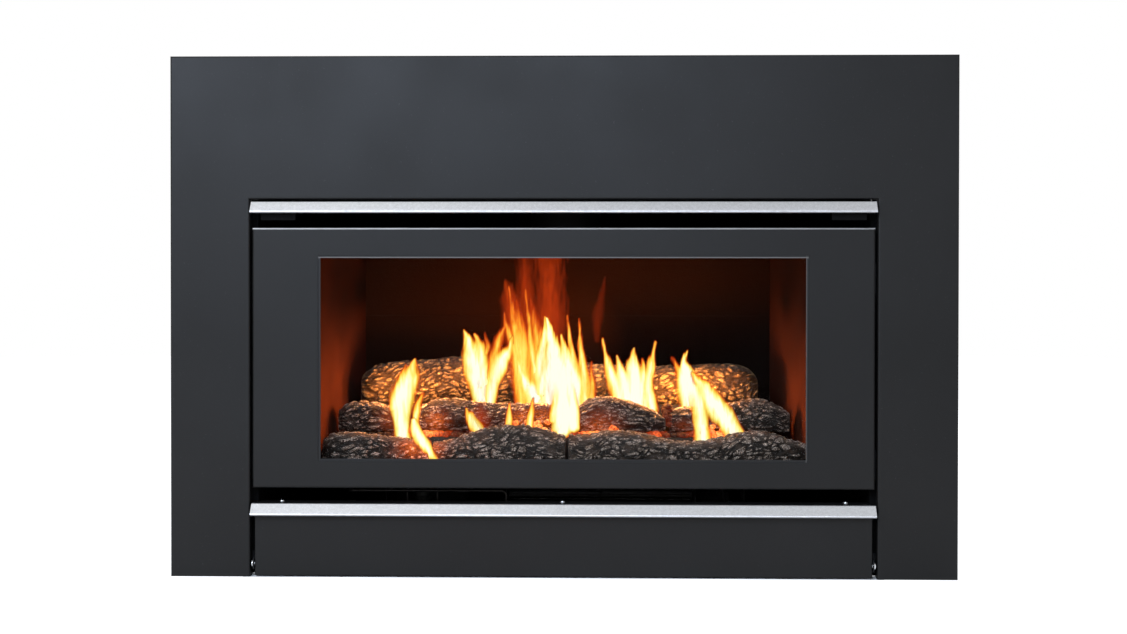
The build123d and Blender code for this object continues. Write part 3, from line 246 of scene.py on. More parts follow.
# ---------------------------------------- materials
class Finish:
    """A Principled material built up from procedural layers in the object's own space.
    Scales of noise and cells are per metre, and bumps are in metres."""

    NOISE_RANGE = (0.3, 0.7)     # nearly all values of a noise lie in it

    def __init__(self, name, colour, roughness, metallic=0.0, specular=0.5):
        self.material = bpy.data.materials.new(name)
        self.material.use_nodes = True
        self.tree = self.material.node_tree
        self.shader = self.tree.nodes["Principled BSDF"]
        self.shader.inputs["Metallic"].default_value = metallic
        self.shader.inputs["Specular IOR Level"].default_value = specular
        self.shader.inputs["Roughness"].default_value = roughness
        self.roughness = roughness
        self.coords = self.tree.nodes.new("ShaderNodeTexCoord").outputs["Object"]
        base = self.tree.nodes.new("ShaderNodeRGB")
        base.outputs[0].default_value = (*colour, 1)
        self.colour = base.outputs[0]
        self.normal = None

    def noise(self, scale, detail=3.0, stretch=None, distortion=0.0):
        """Cloudy values about 0.5. A stretch below 1 draws them out along that axis."""
        vector = self.coords
        if stretch:
            mapping = new_node(self.tree, "ShaderNodeMapping", Vector=self.coords)
            mapping.inputs["Scale"].default_value = stretch
            vector = mapping.outputs[0]
        made = new_node(self.tree, "ShaderNodeTexNoise", Vector=vector, Scale=scale,
                        Detail=detail, Distortion=distortion)
        return made.outputs["Fac"]

    def cells(self, scale, output="Distance"):
        """Cells about scattered points: the distance to the point, or the cell's colour."""
        made = new_node(self.tree, "ShaderNodeTexVoronoi", Vector=self.coords, Scale=scale)
        return made.outputs[output]

    def attribute(self, name):
        """The numbers that set_attribute stored."""
        made = self.tree.nodes.new("ShaderNodeAttribute")
        made.attribute_name = name
        return made.outputs["Fac"]

    def ramp(self, value, *stops):
        """A value turned into one from 0 to 1, or a colour, by (place, value) stops."""
        made = new_node(self.tree, "ShaderNodeValToRGB", Fac=value)
        elements = made.color_ramp.elements
        while len(elements) < len(stops):
            elements.new(0.5)
        for element, (place, shade) in zip(elements, stops):
            element.position = place
            element.color = (*shade, 1) if isinstance(shade, tuple) else (shade, shade, shade, 1)
        return made.outputs["Color"]

    def map(self, value, low, high, new_low, new_high):
        """The same as map_range, in this material's tree."""
        return map_range(self.tree, value, low, high, new_low, new_high)

    def spread(self, value, low, high):
        """Low to high as a noise goes through its range."""
        return self.map(value, *self.NOISE_RANGE, low, high)

    def maths(self, operation, a, b):
        """The same as maths, in this material's tree."""
        return maths(self.tree, operation, a, b)

    def mix(self, share, a, b, blend="MIX"):
        """Colour a where share is 0, and b, or a blended with b, where it is 1."""
        made = self.tree.nodes.new("ShaderNodeMix")
        made.data_type = "RGBA"
        made.blend_type = blend
        share_input, first_colour, second_colour = (made.inputs[n] for n in (0, 6, 7))
        feed(self.tree, share_input, share)
        feed(self.tree, first_colour, a)
        feed(self.tree, second_colour, b)
        return made.outputs[2]

    def tint(self, share, colour):
        """Lays a colour over what is there, where share is 1."""
        self.colour = self.mix(share, self.colour, colour)

    def multiply_colour(self, factor):
        """Multiplies the colour by a value."""
        grey = self.tree.nodes.new("ShaderNodeCombineColor")
        for socket in grey.inputs:
            link(self.tree, factor, socket)
        self.colour = self.mix(1.0, self.colour, grey.outputs[0], "MULTIPLY")

    def vary_colour(self, value, low, high):
        """Multiplies the colour by low to high as a noise goes through its range."""
        self.multiply_colour(self.spread(value, low, high))

    def vary_roughness(self, value, spread):
        """Makes the roughness uneven, by up to spread either way."""
        result = self.spread(value, self.roughness - spread, self.roughness + spread)
        link(self.tree, result, self.shader.inputs["Roughness"])

    def bump(self, height, distance, strength=1.0):
        """Adds relief, distance deep where height goes from 0 to 1."""
        made = new_node(self.tree, "ShaderNodeBump", Height=height, Distance=distance,
                        Strength=strength)
        if self.normal is not None:
            link(self.tree, self.normal, made.inputs["Normal"])
        self.normal = made.outputs["Normal"]

    def glow(self, colour, strength):
        """Makes the surface shine. The lamps in the fire light what is round it."""
        link(self.tree, colour, self.shader.inputs["Emission Color"])
        self.shader.inputs["Emission Strength"].default_value = strength
        self.material.cycles.emission_sampling = "NONE"

    def done(self):
        """Joins the layers to the shader, and gives the material."""
        link(self.tree, self.colour, self.shader.inputs["Base Color"])
        if self.normal is not None:
            link(self.tree, self.normal, self.shader.inputs["Normal"])
        return self.material


def powder_coat(name, colour, roughness=0.40, specular=0.15):
    """Powder paint: a fine even grain and a slightly uneven gloss."""
    paint = Finish(name, colour, roughness, specular=specular)
    paint.vary_colour(paint.noise(5.0), 0.86, 1.14)
    paint.vary_colour(paint.noise(900.0, 2.0), 0.82, 1.18)
    paint.vary_roughness(paint.noise(9.0), 0.05)
    paint.bump(paint.noise(1100.0, 2.0), 0.00012, 0.5)
    return paint


def satin_paint(name, colour, roughness=0.40, specular=0.15):
    """Powder paint with a little dust."""
    paint = powder_coat(name, colour, roughness, specular)
    dust = paint.ramp(paint.noise(420.0, 2.0), (0.70, 0.0), (0.80, 0.16))
    paint.tint(dust, (0.16, 0.16, 0.17))
    return paint.done()


def door_paint(name, colour):
    """Powder paint, with a painted highlight along the door's upper edge, where its rounded fold
    catches the light. The highlight fades towards the right.
    """
    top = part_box("door_frame")[1].z
    highlight_height, half_width = 0.0016, 0.40
    paint = powder_coat(name, colour)
    place = position(paint.tree)
    edge = paint.map(place["Z"], top - highlight_height * 1.3, top - highlight_height, 0.0, 1.0)
    across = paint.map(place["X"], -half_width, half_width, 1.0, 0.55)
    patchy = paint.spread(paint.noise(30.0), 0.8, 1.0)
    # Painted highlight: pale along the top edge, fading to the right and a little patchy.
    worn = paint.maths("MULTIPLY", paint.maths("MULTIPLY", edge, across), patchy)
    paint.tint(worn, (0.62, 0.61, 0.60))
    return paint.done()


def bead_paint(name):
    """The glass frame's paint, with painted highlights on the lip along the top and the right."""
    ring = [v.co for v in nodes["glass_frame"].data.vertices]
    middle = sum(co.z for co in ring) / len(ring)
    inner_right = min(co.x for co in ring if co.x > 0)
    inner_top = min(co.z for co in ring if co.z > middle)
    lip, fade_in, fade_out = 0.0013, 0.001, 1.3
    paint = Finish(name, (0.0075, 0.0078, 0.0082), 0.42, specular=0.2)
    paint.vary_colour(paint.noise(900.0, 2.0), 0.85, 1.15)
    place = position(paint.tree)
    # Painted highlights on the lip: brighter along the top, dimmer on the right.
    for axis, start, share, shine in (("Z", inner_top, 1.0, (0.10, 0.098, 0.095)),
                                      ("X", inner_right, 0.55, (0.075, 0.072, 0.070))):
        far_enough = paint.map(place[axis], start - fade_in, start, 0.0, share)
        on_lip = paint.map(place[axis], start + lip, start + lip * fade_out, 1.0, 0.0)
        paint.tint(paint.maths("MULTIPLY", far_enough, on_lip), shine)
    return paint.done()


def silver_paint(name, colour):
    """Satin silver: fine orange peel with brighter flakes."""
    silver = Finish(name, colour, 0.36, metallic=0.85)
    silver.vary_colour(silver.noise(1500.0, 2.0), 0.84, 1.16)
    silver.vary_colour(silver.noise(260.0, 3.0), 0.93, 1.07)
    silver.vary_roughness(silver.noise(500.0), 0.07)
    silver.bump(silver.noise(620.0, 2.0), 0.0003, 0.55)
    silver.bump(silver.cells(1300.0), 0.00012, 0.4)
    return silver.done()


def galvanised(name):
    """Zinc-coated sheet: flat crystals of different shine, faint draw lines."""
    zinc = Finish(name, (0.52, 0.53, 0.545), 0.40, metallic=0.85)
    crystals = zinc.cells(75.0, output="Color")
    shade, shine, _ = new_node(zinc.tree, "ShaderNodeSeparateColor", Color=crystals).outputs
    zinc.vary_colour(shade, 0.93, 1.06)
    zinc.vary_colour(zinc.noise(6.0, 4.0), 0.88, 1.06)
    zinc.vary_roughness(shine, 0.05)
    zinc.bump(zinc.noise(300.0, 2.0, stretch=(1.0, 0.06, 0.3)), 0.0001, 0.4)
    return zinc.done()


def bright_metal(name, colour, roughness=0.26):
    """Plated or machined metal with fine tool lines and a little tarnish."""
    metal = Finish(name, colour, roughness, metallic=1.0)
    metal.vary_colour(metal.noise(160.0, 4.0), 0.82, 1.10)
    metal.vary_roughness(metal.noise(70.0), 0.08)
    metal.bump(metal.noise(900.0, 2.0, stretch=(1.0, 0.15, 1.0)), 0.0001, 0.4)
    return metal.done()


def heat_stained(name, colour):
    """Steel that has been hot: brown and blue stains, scale spots."""
    steel = Finish(name, colour, 0.55, metallic=0.6)
    brown = tuple(part * share for part, share in zip(colour, (0.75, 0.45, 0.27)))
    blue = tuple(part * share for part, share in zip(colour, (0.31, 0.41, 0.77)))
    steel.tint(steel.ramp(steel.noise(14.0, 4.0, distortion=1.0), (0.35, 0.0), (0.62, 0.7)), brown)
    steel.tint(steel.ramp(steel.noise(26.0, 3.0), (0.58, 0.0), (0.72, 0.55)), blue)
    steel.vary_roughness(steel.noise(40.0), 0.14)
    steel.bump(steel.noise(420.0), 0.0003, 0.5)
    return steel.done()


def cast_metal(name, colour):
    """Cast or sintered metal: grainy, with dull and bright patches."""
    metal = Finish(name, colour, 0.44, metallic=0.85)
    metal.vary_colour(metal.noise(240.0, 4.0), 0.82, 1.1)
    metal.vary_roughness(metal.noise(90.0), 0.1)
    metal.bump(metal.noise(800.0, 4.0), 0.0004, 0.6)
    return metal.done()


def moulded_plastic(name, colour, roughness=0.42):
    """Plastic with the fine texture of its mould."""
    plastic = Finish(name, colour, roughness)
    plastic.vary_colour(plastic.noise(60.0), 0.92, 1.08)
    plastic.vary_roughness(plastic.noise(40.0), 0.05)
    plastic.bump(plastic.cells(1600.0), 0.00015, 0.5)
    return plastic.done()


def liner_board(name, colour, shade_colour, shade_level, right_share, right_top_share):
    """Moulded fibre board: pitted, with painted shade upwards from a level and towards the back,
    where the flames light it less. The shares are how bright the painted shade leaves it on the
    right, low down and near the top."""
    board = Finish(name, colour, 0.9, specular=0.03)
    board.vary_colour(board.noise(42.0, 5.0), 0.85, 1.15)
    board.vary_colour(board.noise(300.0, 4.0), 0.9, 1.1)
    place = position(board.tree)
    # Painted shade: darker upwards and towards the back, where less of the flames' light reaches.
    up = board.map(place["Z"], *shade_level, 0.0, 0.9)
    deep = board.map(place["Y"], 0.03, 0.20, 0.0, 0.75)
    patch = board.spread(board.noise(7.0, 5.0, distortion=0.6), -0.12, 0.12)
    board.tint(board.maths("ADD", board.maths("MAXIMUM", up, deep), patch), shade_colour)
    # Painted shade: the board is darker right of the middle, by the shares.
    share = board.map(place["Z"], 0.33, 0.4033, right_share, right_top_share)
    left = board.map(place["X"], 0.045, 0.105, 1.0, 0.0)
    board.multiply_colour(board.maths("MAXIMUM", share, left))
    board.bump(board.noise(60.0, 5.0), 0.0010, 0.35)
    board.bump(board.cells(520.0), 0.0003, 0.4)
    return board.done()


def woven_rope(name, colour):
    """Heat-proof rope or felt: soft knots with dark gaps between them."""
    rope = Finish(name, colour, 0.9, specular=0.2)
    rope.vary_colour(rope.cells(700.0), 0.6, 1.5)
    rope.bump(rope.cells(700.0), 0.0008, 1.0)
    return rope.done()


def bark(name, groove, flank, ash_and_glint_colour):
    """Ceramic bark: dark grooves, brown flanks, a lighter brown on faces that look up, small glossy
    crests of pale ash painted bright as glints, and painted light: a glow where the embers would
    light what lies near them."""
    dust, upward_brown, sawn = (0.075, 0.048, 0.034), (0.085, 0.060, 0.047), (0.060, 0.044, 0.034)
    wood = Finish(name, groove, 0.32, specular=0.16)
    crest = wood.attribute("crest")
    grain = wood.noise(520.0, 4.0, stretch=(0.40, 1.0, 1.0), distortion=0.9)
    curls = wood.noise(330.0, 4.0, stretch=(0.50, 1.0, 1.0), distortion=2.4)
    wood.tint(wood.ramp(crest, (0.25, 0.0), (0.75, 1.0)), flank)
    wood.tint(wood.ramp(wood.noise(70.0, 4.0), (0.52, 0.0), (0.70, 0.55)), dust)
    # Faces that look up are tinted a lighter brown.
    wood.tint(wood.ramp(wood.attribute("top"), (0.45, 0.0), (0.95, 0.7)), upward_brown)
    # Pale crests: ash, painted bright enough to stand for glints where the light catches the bark.
    ash = wood.mix(1.0, wood.ramp(crest, (0.42, 0.0), (0.72, 1.0)),
                   wood.ramp(curls, (0.510, 0.0), (0.524, 1.0), (0.540, 1.0), (0.56, 0.0)),
                   "MULTIPLY")
    wood.tint(ash, ash_and_glint_colour)
    wood.tint(wood.ramp(wood.attribute("cut"), (0.35, 0.0), (0.8, 0.7)), sawn)
    wood.vary_roughness(grain, 0.14)
    wood.bump(grain, 0.0012, 1.0)
    wood.bump(curls, 0.0016, 0.8)
    # Painted light: the bark glows where the embers would light it, patchy along the curls.
    heat = wood.mix(1.0, wood.attribute("glow"), wood.ramp(curls, (0.40, 0.25), (0.58, 1.0)),
                    "MULTIPLY")
    wood.glow(wood.ramp(heat, (0.0, BLACK), (0.25, (0.26, 0.034, 0.002)),
                        (0.60, (0.85, 0.16, 0.014)), (1.0, (1.0, 0.42, 0.09))), 1.0)
    return wood.done()


def ember(name):
    """Glowing coal: pale ash crust broken by red and orange heat."""
    coal = Finish(name, (0.020, 0.014, 0.011), 0.9, specular=0.1)
    heat = coal.attribute("warmth")
    coal.tint(coal.ramp(heat, (0.15, 0.0), (0.65, 1.0)), (0.10, 0.070, 0.053))
    broken = coal.noise(330.0, 4.0, distortion=0.8)
    coal.vary_colour(broken, 0.6, 1.6)
    hot = coal.mix(1.0, coal.ramp(broken, (0.36, 0.30), (0.58, 1.0)), heat, "MULTIPLY")
    coal.glow(coal.ramp(hot, (0.0, BLACK), (0.25, (0.35, 0.03, 0.001)),
                        (0.55, (0.95, 0.16, 0.014)), (0.9, (1.0, 0.46, 0.12))), 1.7)
    coal.bump(broken, 0.0015, 0.8)
    return coal.done()


def clear_glass(name):
    """Heat glass: clear, with a faint mirror that grows towards grazing."""
    material, tree = empty_material(name)
    clear = new_node(tree, "ShaderNodeBsdfTransparent", Color=(0.97, 0.975, 0.97))
    mirror = new_node(tree, "ShaderNodeBsdfGlossy", Roughness=0.03)
    fresnel = new_node(tree, "ShaderNodeFresnel", IOR=1.45)
    coords = tree.nodes.new("ShaderNodeTexCoord").outputs["Object"]
    film = new_node(tree, "ShaderNodeTexNoise", Vector=coords, Scale=7.0)
    share = map_range(tree, film.outputs["Fac"], 0.0, 1.0, 0.0, 0.05)
    part = maths(tree, "MULTIPLY", fresnel.outputs[0], share)
    set_surface(tree, mix_shaders(tree, part, clear, mirror))
    return material


def flame_gas(name):
    """Burning gas: white-hot inside, yellow then orange outwards, thinning to nothing at its
    edge, with streaks that run up it. The mesh holds how warm and how dense it is."""
    gas = Finish(name, BLACK, 1.0, specular=0.0)
    streaks = gas.noise(75.0, 3.0, stretch=(1.0, 1.0, 0.16), distortion=0.8)
    licks = gas.noise(230.0, 2.0, stretch=(1.0, 1.0, 0.14))
    flicker = gas.maths("ADD", gas.spread(streaks, 0.25, 0.80), gas.spread(licks, 0.25, 0.65))
    warmth = gas.maths("MULTIPLY", gas.attribute("warmth"), flicker)
    gas.glow(gas.ramp(warmth, (0.0, (0.24, 0.016, 0.003)), (0.07, (0.44, 0.036, 0.004)),
                      (0.13, (0.85, 0.16, 0.012)), (0.20, (1.0, 0.45, 0.035)),
                      (0.31, (1.0, 0.76, 0.12)), (0.46, (1.0, 0.93, 0.34)),
                      (0.72, (1.0, 1.0, 0.80))), 1.15)
    density = gas.maths("MULTIPLY", gas.attribute("body"), flicker)
    density.node.use_clamp = True
    link(gas.tree, density, gas.shader.inputs["Alpha"])
    return gas.done()


# ---------------------------------------- CAD nodes keep their shape
def dress_nodes():
    """Gives each CAD node its material."""
    door_black = (0.0078, 0.0078, 0.0078)
    # Painted shade: a near-black paint on the case's inside, the front frame and the upper bar's
    # brackets stands for the dark seen through the slots.
    slot_shade_black = satin_paint("inner_black", (0.0030, 0.0030, 0.0031), 0.8, 0.05)
    case_sheets = ("case_base", "case_sides", "case_back", "case_top")
    bars = ("top_bar", "lower_bar")
    finishes = {
        satin_paint("fascia_paint", door_black): ["surround", "lower_panel"],
        door_paint("door_paint", door_black): ["door_frame"],
        satin_paint("bracket_paint", (0.011, 0.011, 0.012), 0.5): [
            "lower_bar_brackets", "hinge_brackets", "magnet_brackets"],
        slot_shade_black: ["top_bar_brackets", "front_frame"],
        bead_paint("bead_paint"): ["glass_frame"],
        satin_paint("firebox_paint", (0.010, 0.0095, 0.009), 0.62, 0.2): [
            "firebox_floor", "firebox_side_walls", "firebox_back_wall", "firebox_top",
            "firebox_supports", "flue_spigot", "air_duct", "control_plate"],
        silver_paint("louvre_silver", (0.52, 0.53, 0.545)): bars,
        galvanised("case_sheet"): [*case_sheets, "blower_housing"],
        bright_metal("zinc_plate", (0.70, 0.72, 0.74)): [
            "case_screws", "glass_clips", "door_brackets", "door_hangers", "catch_forks",
            "bar_screws", "panel_hinge_pins"],
        bright_metal("magnet_nickel", (0.68, 0.67, 0.65), 0.16): ["magnets"],
        bright_metal("union_brass", (0.66, 0.42, 0.17), 0.3): ["gas_inlet_union"],
        bright_metal("pipe_steel", (0.055, 0.05, 0.047), 0.42): ["gas_pipes"],
        heat_stained("burner_steel", (0.16, 0.145, 0.13)): ["pilot_burner", "flue_baffle"],
        heat_stained("sooted_steel", (0.022, 0.018, 0.015)): ["burner_tray"],
        cast_metal("valve_casting", (0.52, 0.52, 0.53)): ["gas_valve"],
        cast_metal("wheel_metal", (0.085, 0.085, 0.088)): ["blower_wheel"],
        cast_metal("venturi_iron", (0.030, 0.029, 0.028)): ["burner_venturi"],
        cast_metal("motor_steel", (0.30, 0.30, 0.31)): ["blower_motor"],
        liner_board("back_board", (0.012, 0.0038, 0.0010), (0.0072, 0.0024, 0.0009),
                    (0.20, 0.60), 0.25, 1.0): ["back_liners"],
        liner_board("side_board", (0.066, 0.016, 0.0075), (0.003, 0.0012, 0.0006),
                    (0.12, 0.37), 0.90, 0.90): ["side_liners"],
        woven_rope("rope_seal", (0.12, 0.118, 0.112)): ["door_seals"],
        clear_glass("heat_glass"): ["glass_pane"],
        moulded_plastic("knob_black", (0.016, 0.016, 0.017)): ["valve_knob", "fan_speed_knob"],
        moulded_plastic("control_grey", (0.05, 0.05, 0.055)): [
            "piezo_igniter", "speed_controller", "cable_gland"],
        moulded_plastic("button_red", (0.36, 0.012, 0.010), 0.25): ["igniter_button"],
    }
    for material, names in finishes.items():
        for name in names:
            mesh = nodes[name].data
            mesh.materials.clear()
            mesh.materials.append(material)
            for face in mesh.polygons:
                face.material_index = 0
    blacken_inside(case_sheets, slot_shade_black)
    shade_undersides(bars, silver_paint("louvre_shade", (0.26, 0.265, 0.275)))


def add_paint(mesh, paint, wanted):
    """A second paint, on the faces that the test picks."""
    mesh.materials.append(paint)
    for face in mesh.polygons:
        if wanted(face):
            face.material_index = 1


def shade_undersides(names, paint):
    """Painted shade: the faces that look down get a darker silver, for the shade under the bars."""
    for name in names:
        add_paint(nodes[name].data, paint, lambda face: face.normal.z < -0.15)


def blacken_inside(names, paint):
    """Painted shade: the case is black inside and on its front flanges, for the dark seen through
    the slots, and bare outside.
    """
    low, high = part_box("case_base")
    middle = (low + high) / 2
    middle.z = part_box("case_top")[1].z / 2
    for name in names:
        add_paint(nodes[name].data, paint,
                  lambda face: face.normal.dot(middle - face.center) > 0 or face.normal.y < -0.5)


# ---------------------------------------- soft seals
def make_corner_seals():
    """Pads of black heat felt in the upper corners, between the flanges of the case's top
    and its sides, behind the fascia."""
    clear, depth, rounding = 0.0004, 0.003, 0.0009
    longest_edge = 0.004
    shrink, lumps_per_metre = 0.04, 600
    felt = woven_rope("black_felt", (0.006, 0.006, 0.006))
    flange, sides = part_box("case_top"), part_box("case_sides")
    width = sides[1].x - flange[1].x - 2 * clear
    height = flange[1].z - sides[1].z - 2 * clear
    for name, side in (("left", -1), ("right", 1)):
        middle = Vector((side * (flange[1].x + clear + width / 2), flange[0].y + depth / 2 + clear,
                         sides[1].z + clear + height / 2))
        pad = bmesh.new()
        bmesh.ops.create_cube(pad, size=1.0)
        bmesh.ops.scale(pad, vec=(width, depth, height), verts=pad.verts)
        bmesh.ops.bevel(pad, geom=pad.edges[:], offset=rounding, segments=3, affect="EDGES")
        long_edges = [e for e in pad.edges if e.calc_length() > longest_edge]
        bmesh.ops.subdivide_edges(pad, edges=long_edges, cuts=5, use_grid_fill=True)
        for v in pad.verts:
            lump = noise.noise(v.co * lumps_per_metre + Vector((side, 0, 0)))
            v.co *= 1 - shrink * (0.5 + 0.5 * lump)
            v.co += middle
        points = [v.co.copy() for v in pad.verts]
        faces = [[v.index for v in face.verts] for face in pad.faces]
        pad.free()
        piece = new_piece("corner_seal_" + name, points, faces, felt)


# ---------------------------------------- logs
# Each log: how fine its mesh is in metres, and which of its ends are worn round.
LOGS = {"front_log_left": (0.0014, "left"), "front_log_centre": (0.0014, ""),
        "front_log_right": (0.0014, "right"), "middle_log_left": (0.0015, "left"),
        "middle_log_dark": (0.0015, "left"), "middle_log_curved": (0.0015, ""),
        "middle_log_right": (0.0015, "right"), "rear_log": (0.0018, "left right")}
LOG_RADIUS = 0.026           # turns an angle round a log into a length of bark
BARK_DEPTH = 0.0034          # from crest to groove
BARK_RISE = 0.0016           # from the solid's face to the crest
SWELL = 0.0010               # slow unevenness of the whole log
KNOT_SPACING = 0.11          # one knot for about this length of log
KNOT_RING, KNOT_HOLLOW = 0.0012, 0.0028
RING_DEPTH = (0.0005, 0.0006)     # rings on a sawn end: the least, and how much more
RING_RATE = 1500             # radians for each metre of radius
WORN_REACH = 0.018           # how far along the log a worn end is rounded
WORN_DEPTH = 0.008           # how far it goes in

# Where the logs glow with painted light from the embers: place, reach and strength. Millimetres.
EMBER_GLOWS = (((-206, 8, 172), 17, 0.55), ((-176, 20, 165), 13, 0.75), ((-180, 76, 200), 17, 0.60),
               ((-118, 74, 205), 16, 0.30), ((-62, 72, 208), 17, 0.75), ((-30, 70, 208), 20, 0.80),
               ((48, 70, 188), 26, 0.50), ((166, 72, 188), 14, 0.55), ((218, 70, 192), 15, 0.45),
               ((-240, 72, 205), 18, 0.30))


def remeshed(node, name, voxel):
    """A fine even mesh of a CAD node's shape, as an object of its own."""
    piece = add_object(name, nodes[node].data.copy())
    cover = piece.modifiers.new("cover", "REMESH")
    cover.mode = "VOXEL"
    cover.voxel_size = voxel
    graph = bpy.context.evaluated_depsgraph_get()
    mesh = bpy.data.meshes.new_from_object(piece.evaluated_get(graph))
    piece.modifiers.clear()
    piece.data = mesh
    mesh.name = name
    shade_smooth(mesh)
    return piece


def log_axis(mesh):
    """The log's two ends, and its centre (y, z) at even steps between them."""
    xs = [v.co.x for v in mesh.vertices]
    low, high = min(xs), max(xs)
    steps = 12
    sums = [[0.0, 0.0, 0] for _ in range(steps)]
    for v in mesh.vertices:
        slot = sums[min(int((v.co.x - low) / (high - low) * steps), steps - 1)]
        slot[0] += v.co.y
        slot[1] += v.co.z
        slot[2] += 1
    return low, high, [(y / n, z / n) for y, z, n in sums]


def centre_at(axis, x):
    """The log's centre (y, z) at x."""
    low, high, centres = axis
    place = min(max((x - low) / (high - low) * len(centres) - 0.5, 0.0), len(centres) - 1.001)
    i = int(place)
    t = place - i
    return tuple(a + (b - a) * t for a, b in zip(centres[i], centres[i + 1]))


def bark_height(x, arc, seed):
    """Height of the bark from 0 in a groove to 1 on a crest; x runs along the log and
    arc round it, in metres."""
    plates_along, plates_around, slant = 78, 170, 40     # per metre
    warp = noise.noise_vector(Vector((x * 40, arc * 40, seed)))
    bend = noise.noise(Vector((x * 14, 0.0, seed)))
    along = x * plates_along + 1.1 * warp.x + arc * slant
    around = arc * plates_around + 1.3 * warp.y + 1.8 * bend
    distances, _ = noise.voronoi(Vector((along, around, seed)))
    plate = smoothstep(0.02, 0.40, distances[1] - distances[0])
    crack = 1 - abs(noise.noise(Vector((x * 95, arc * 330, seed + 7)))) * 2.2
    rough = noise.noise(Vector((x * 200, arc * 420, seed)))
    return max(0.0, plate * 0.8 + 0.2 * rough + 0.1 - 0.35 * smoothstep(0.72, 1.0, crack))


def knot_height(x, angle, knots):
    """A knot is a raised ring round a hollow."""
    total = 0.0
    for knot_x, knot_angle, size in knots:
        turn = math.atan2(math.sin(angle - knot_angle), math.cos(angle - knot_angle))
        away = math.hypot((x - knot_x) / size, turn * LOG_RADIUS / size)
        total += math.exp(-(away - 1) ** 2 * 6) * KNOT_RING
        total -= math.exp(-away ** 2 * 3) * KNOT_HOLLOW
    return total


def ember_glow(place):
    """How strongly the embers light a point, from 0 to 1."""
    return min(sum(strength * math.exp(-((place - Vector(middle) * MM).length / (reach * MM)) ** 2)
                   for middle, reach, strength in EMBER_GLOWS), 1.0)


def carve_log(node, seed, material):
    """A finely meshed log with bark, knots, sawn ends with rings, and worn ends. Its
    underside, which others touch, stays as it is."""
    voxel, worn_ends = LOGS[node]
    piece = remeshed(node, node + "_bark", voxel)
    mesh = piece.data
    axis = log_axis(mesh)
    left_end, right_end = axis[:2]
    length = right_end - left_end
    chance = random.Random(seed)
    knots = [(left_end + length * chance.uniform(0.12, 0.88), chance.uniform(1.0, 5.0),
              chance.uniform(0.007, 0.011)) for _ in range(max(1, round(length / KNOT_SPACING)))]
    normals = [v.normal.copy() for v in mesh.vertices]
    crests, cuts, glows = [], [], []
    for v, normal in zip(mesh.vertices, normals):
        y, z = centre_at(axis, v.co.x)
        angle = math.atan2(v.co.z - z, v.co.y - y)
        radius = math.hypot(v.co.z - z, v.co.y - y)
        sawn = smoothstep(0.55, 0.85, abs(normal.x))
        height = bark_height(v.co.x, angle * LOG_RADIUS, seed)
        rings = 0.5 + 0.5 * math.sin(radius * RING_RATE + 2 * noise.noise(v.co * 90))
        crests.append(height * (1 - sawn) + sawn * rings * 0.5)
        cuts.append(sawn)
        # Painted light: how strongly the embers would light this point, for the bark's glow.
        glows.append(ember_glow(v.co))
        bark_depth = (1 - height) * BARK_DEPTH - BARK_RISE
        bark_depth -= knot_height(v.co.x, angle, knots)
        bark_depth += SWELL * (1 + noise.noise(v.co * 38))
        depth = bark_depth * (1 - sawn) + (RING_DEPTH[0] + rings * RING_DEPTH[1]) * sawn
        from_end = min(v.co.x - left_end if "left" in worn_ends else length,
                       right_end - v.co.x if "right" in worn_ends else length)
        worn = 1 - math.sqrt(1 - (1 - min(max(from_end / WORN_REACH, 0.0), 1.0)) ** 2)
        outwards = Vector((0.0, v.co.y - y, v.co.z - z)) / max(radius, 0.001)
        upper = 1 - smoothstep(0.6, 0.9, -normal.z)
        v.co -= (normal * depth + outwards * worn * WORN_DEPTH) * upper
    set_attribute(piece, "crest", crests)
    set_attribute(piece, "cut", cuts)
    set_attribute(piece, "glow", glows)
    set_attribute(piece, "top", [normal.z for normal in normals])
    mesh.materials.clear()
    mesh.materials.append(material)
    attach(piece, "chassis")
    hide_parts(node)


def make_logs():
    """All the logs. The one behind has a lighter, browner bark, painted light for the flames that
    light it, and the others are charred.
    """
    charred = bark("charred_bark", (0.0090, 0.0060, 0.0045), (0.034, 0.021, 0.014),
                   (1.0, 0.82, 0.69))
    # Painted light: the rear log's bark is lighter and browner, with golden glints, for the flames'
    # light on it.
    brown = bark("brown_bark", (0.030, 0.016, 0.007), (0.11, 0.053, 0.020), (0.58, 0.46, 0.22))
    for number, node in enumerate(LOGS):
        carve_log(node, 3.7 * number + 1.0, brown if node == "rear_log" else charred)


# ---------------------------------------- embers
# Where the coals glow: x and half width along the bed, and how strongly. Millimetres.
GLOWING = ((-196, 26, 0.85), (-112, 14, 0.45), (-38, 42, 1.0), (48, 30, 1.0), (128, 12, 0.4),
           (214, 30, 0.9))
# Cold coals that fill the gap between two of the middle logs: how many, then the ranges of
# x, y and z. Millimetres.
GAP_COALS = (26, ((140.5, 148.5), (88, 104), (196, 224)))
HEAP_COALS = 90     # coals on the heaps of the ember solid


def add_lump(coals, place, size, warmth, chance):
    """One rough coal added to a growing mesh."""
    ball = bmesh.new()
    bmesh.ops.create_icosphere(ball, subdivisions=2, radius=1.0)
    seed = chance.uniform(0, 50)
    flat = chance.uniform(0.55, 0.85)
    turn = Matrix.Rotation(chance.uniform(0, math.tau), 3, "Z")
    start = len(coals["points"])
    for v in ball.verts:
        rough = 1 + 0.34 * noise.noise(v.co * 1.4 + Vector((seed, 0, 0)))
        rough += 0.16 * noise.noise(v.co * 3.6 + Vector((0, seed, 0)))
        shape = Vector((v.co.x, v.co.y * 0.8, v.co.z * flat)) * rough
        coals["points"].append(place + turn @ shape * size)
        coals["warmth"].append(warmth)
    coals["faces"].extend([start + v.index for v in face.verts] for face in ball.faces)
    ball.free()


def glow_at(x):
    """How strongly the bed glows at x, from 0 to 1."""
    return max(strength * math.exp(-((x / MM - middle) / half) ** 2)
               for middle, half, strength in GLOWING)


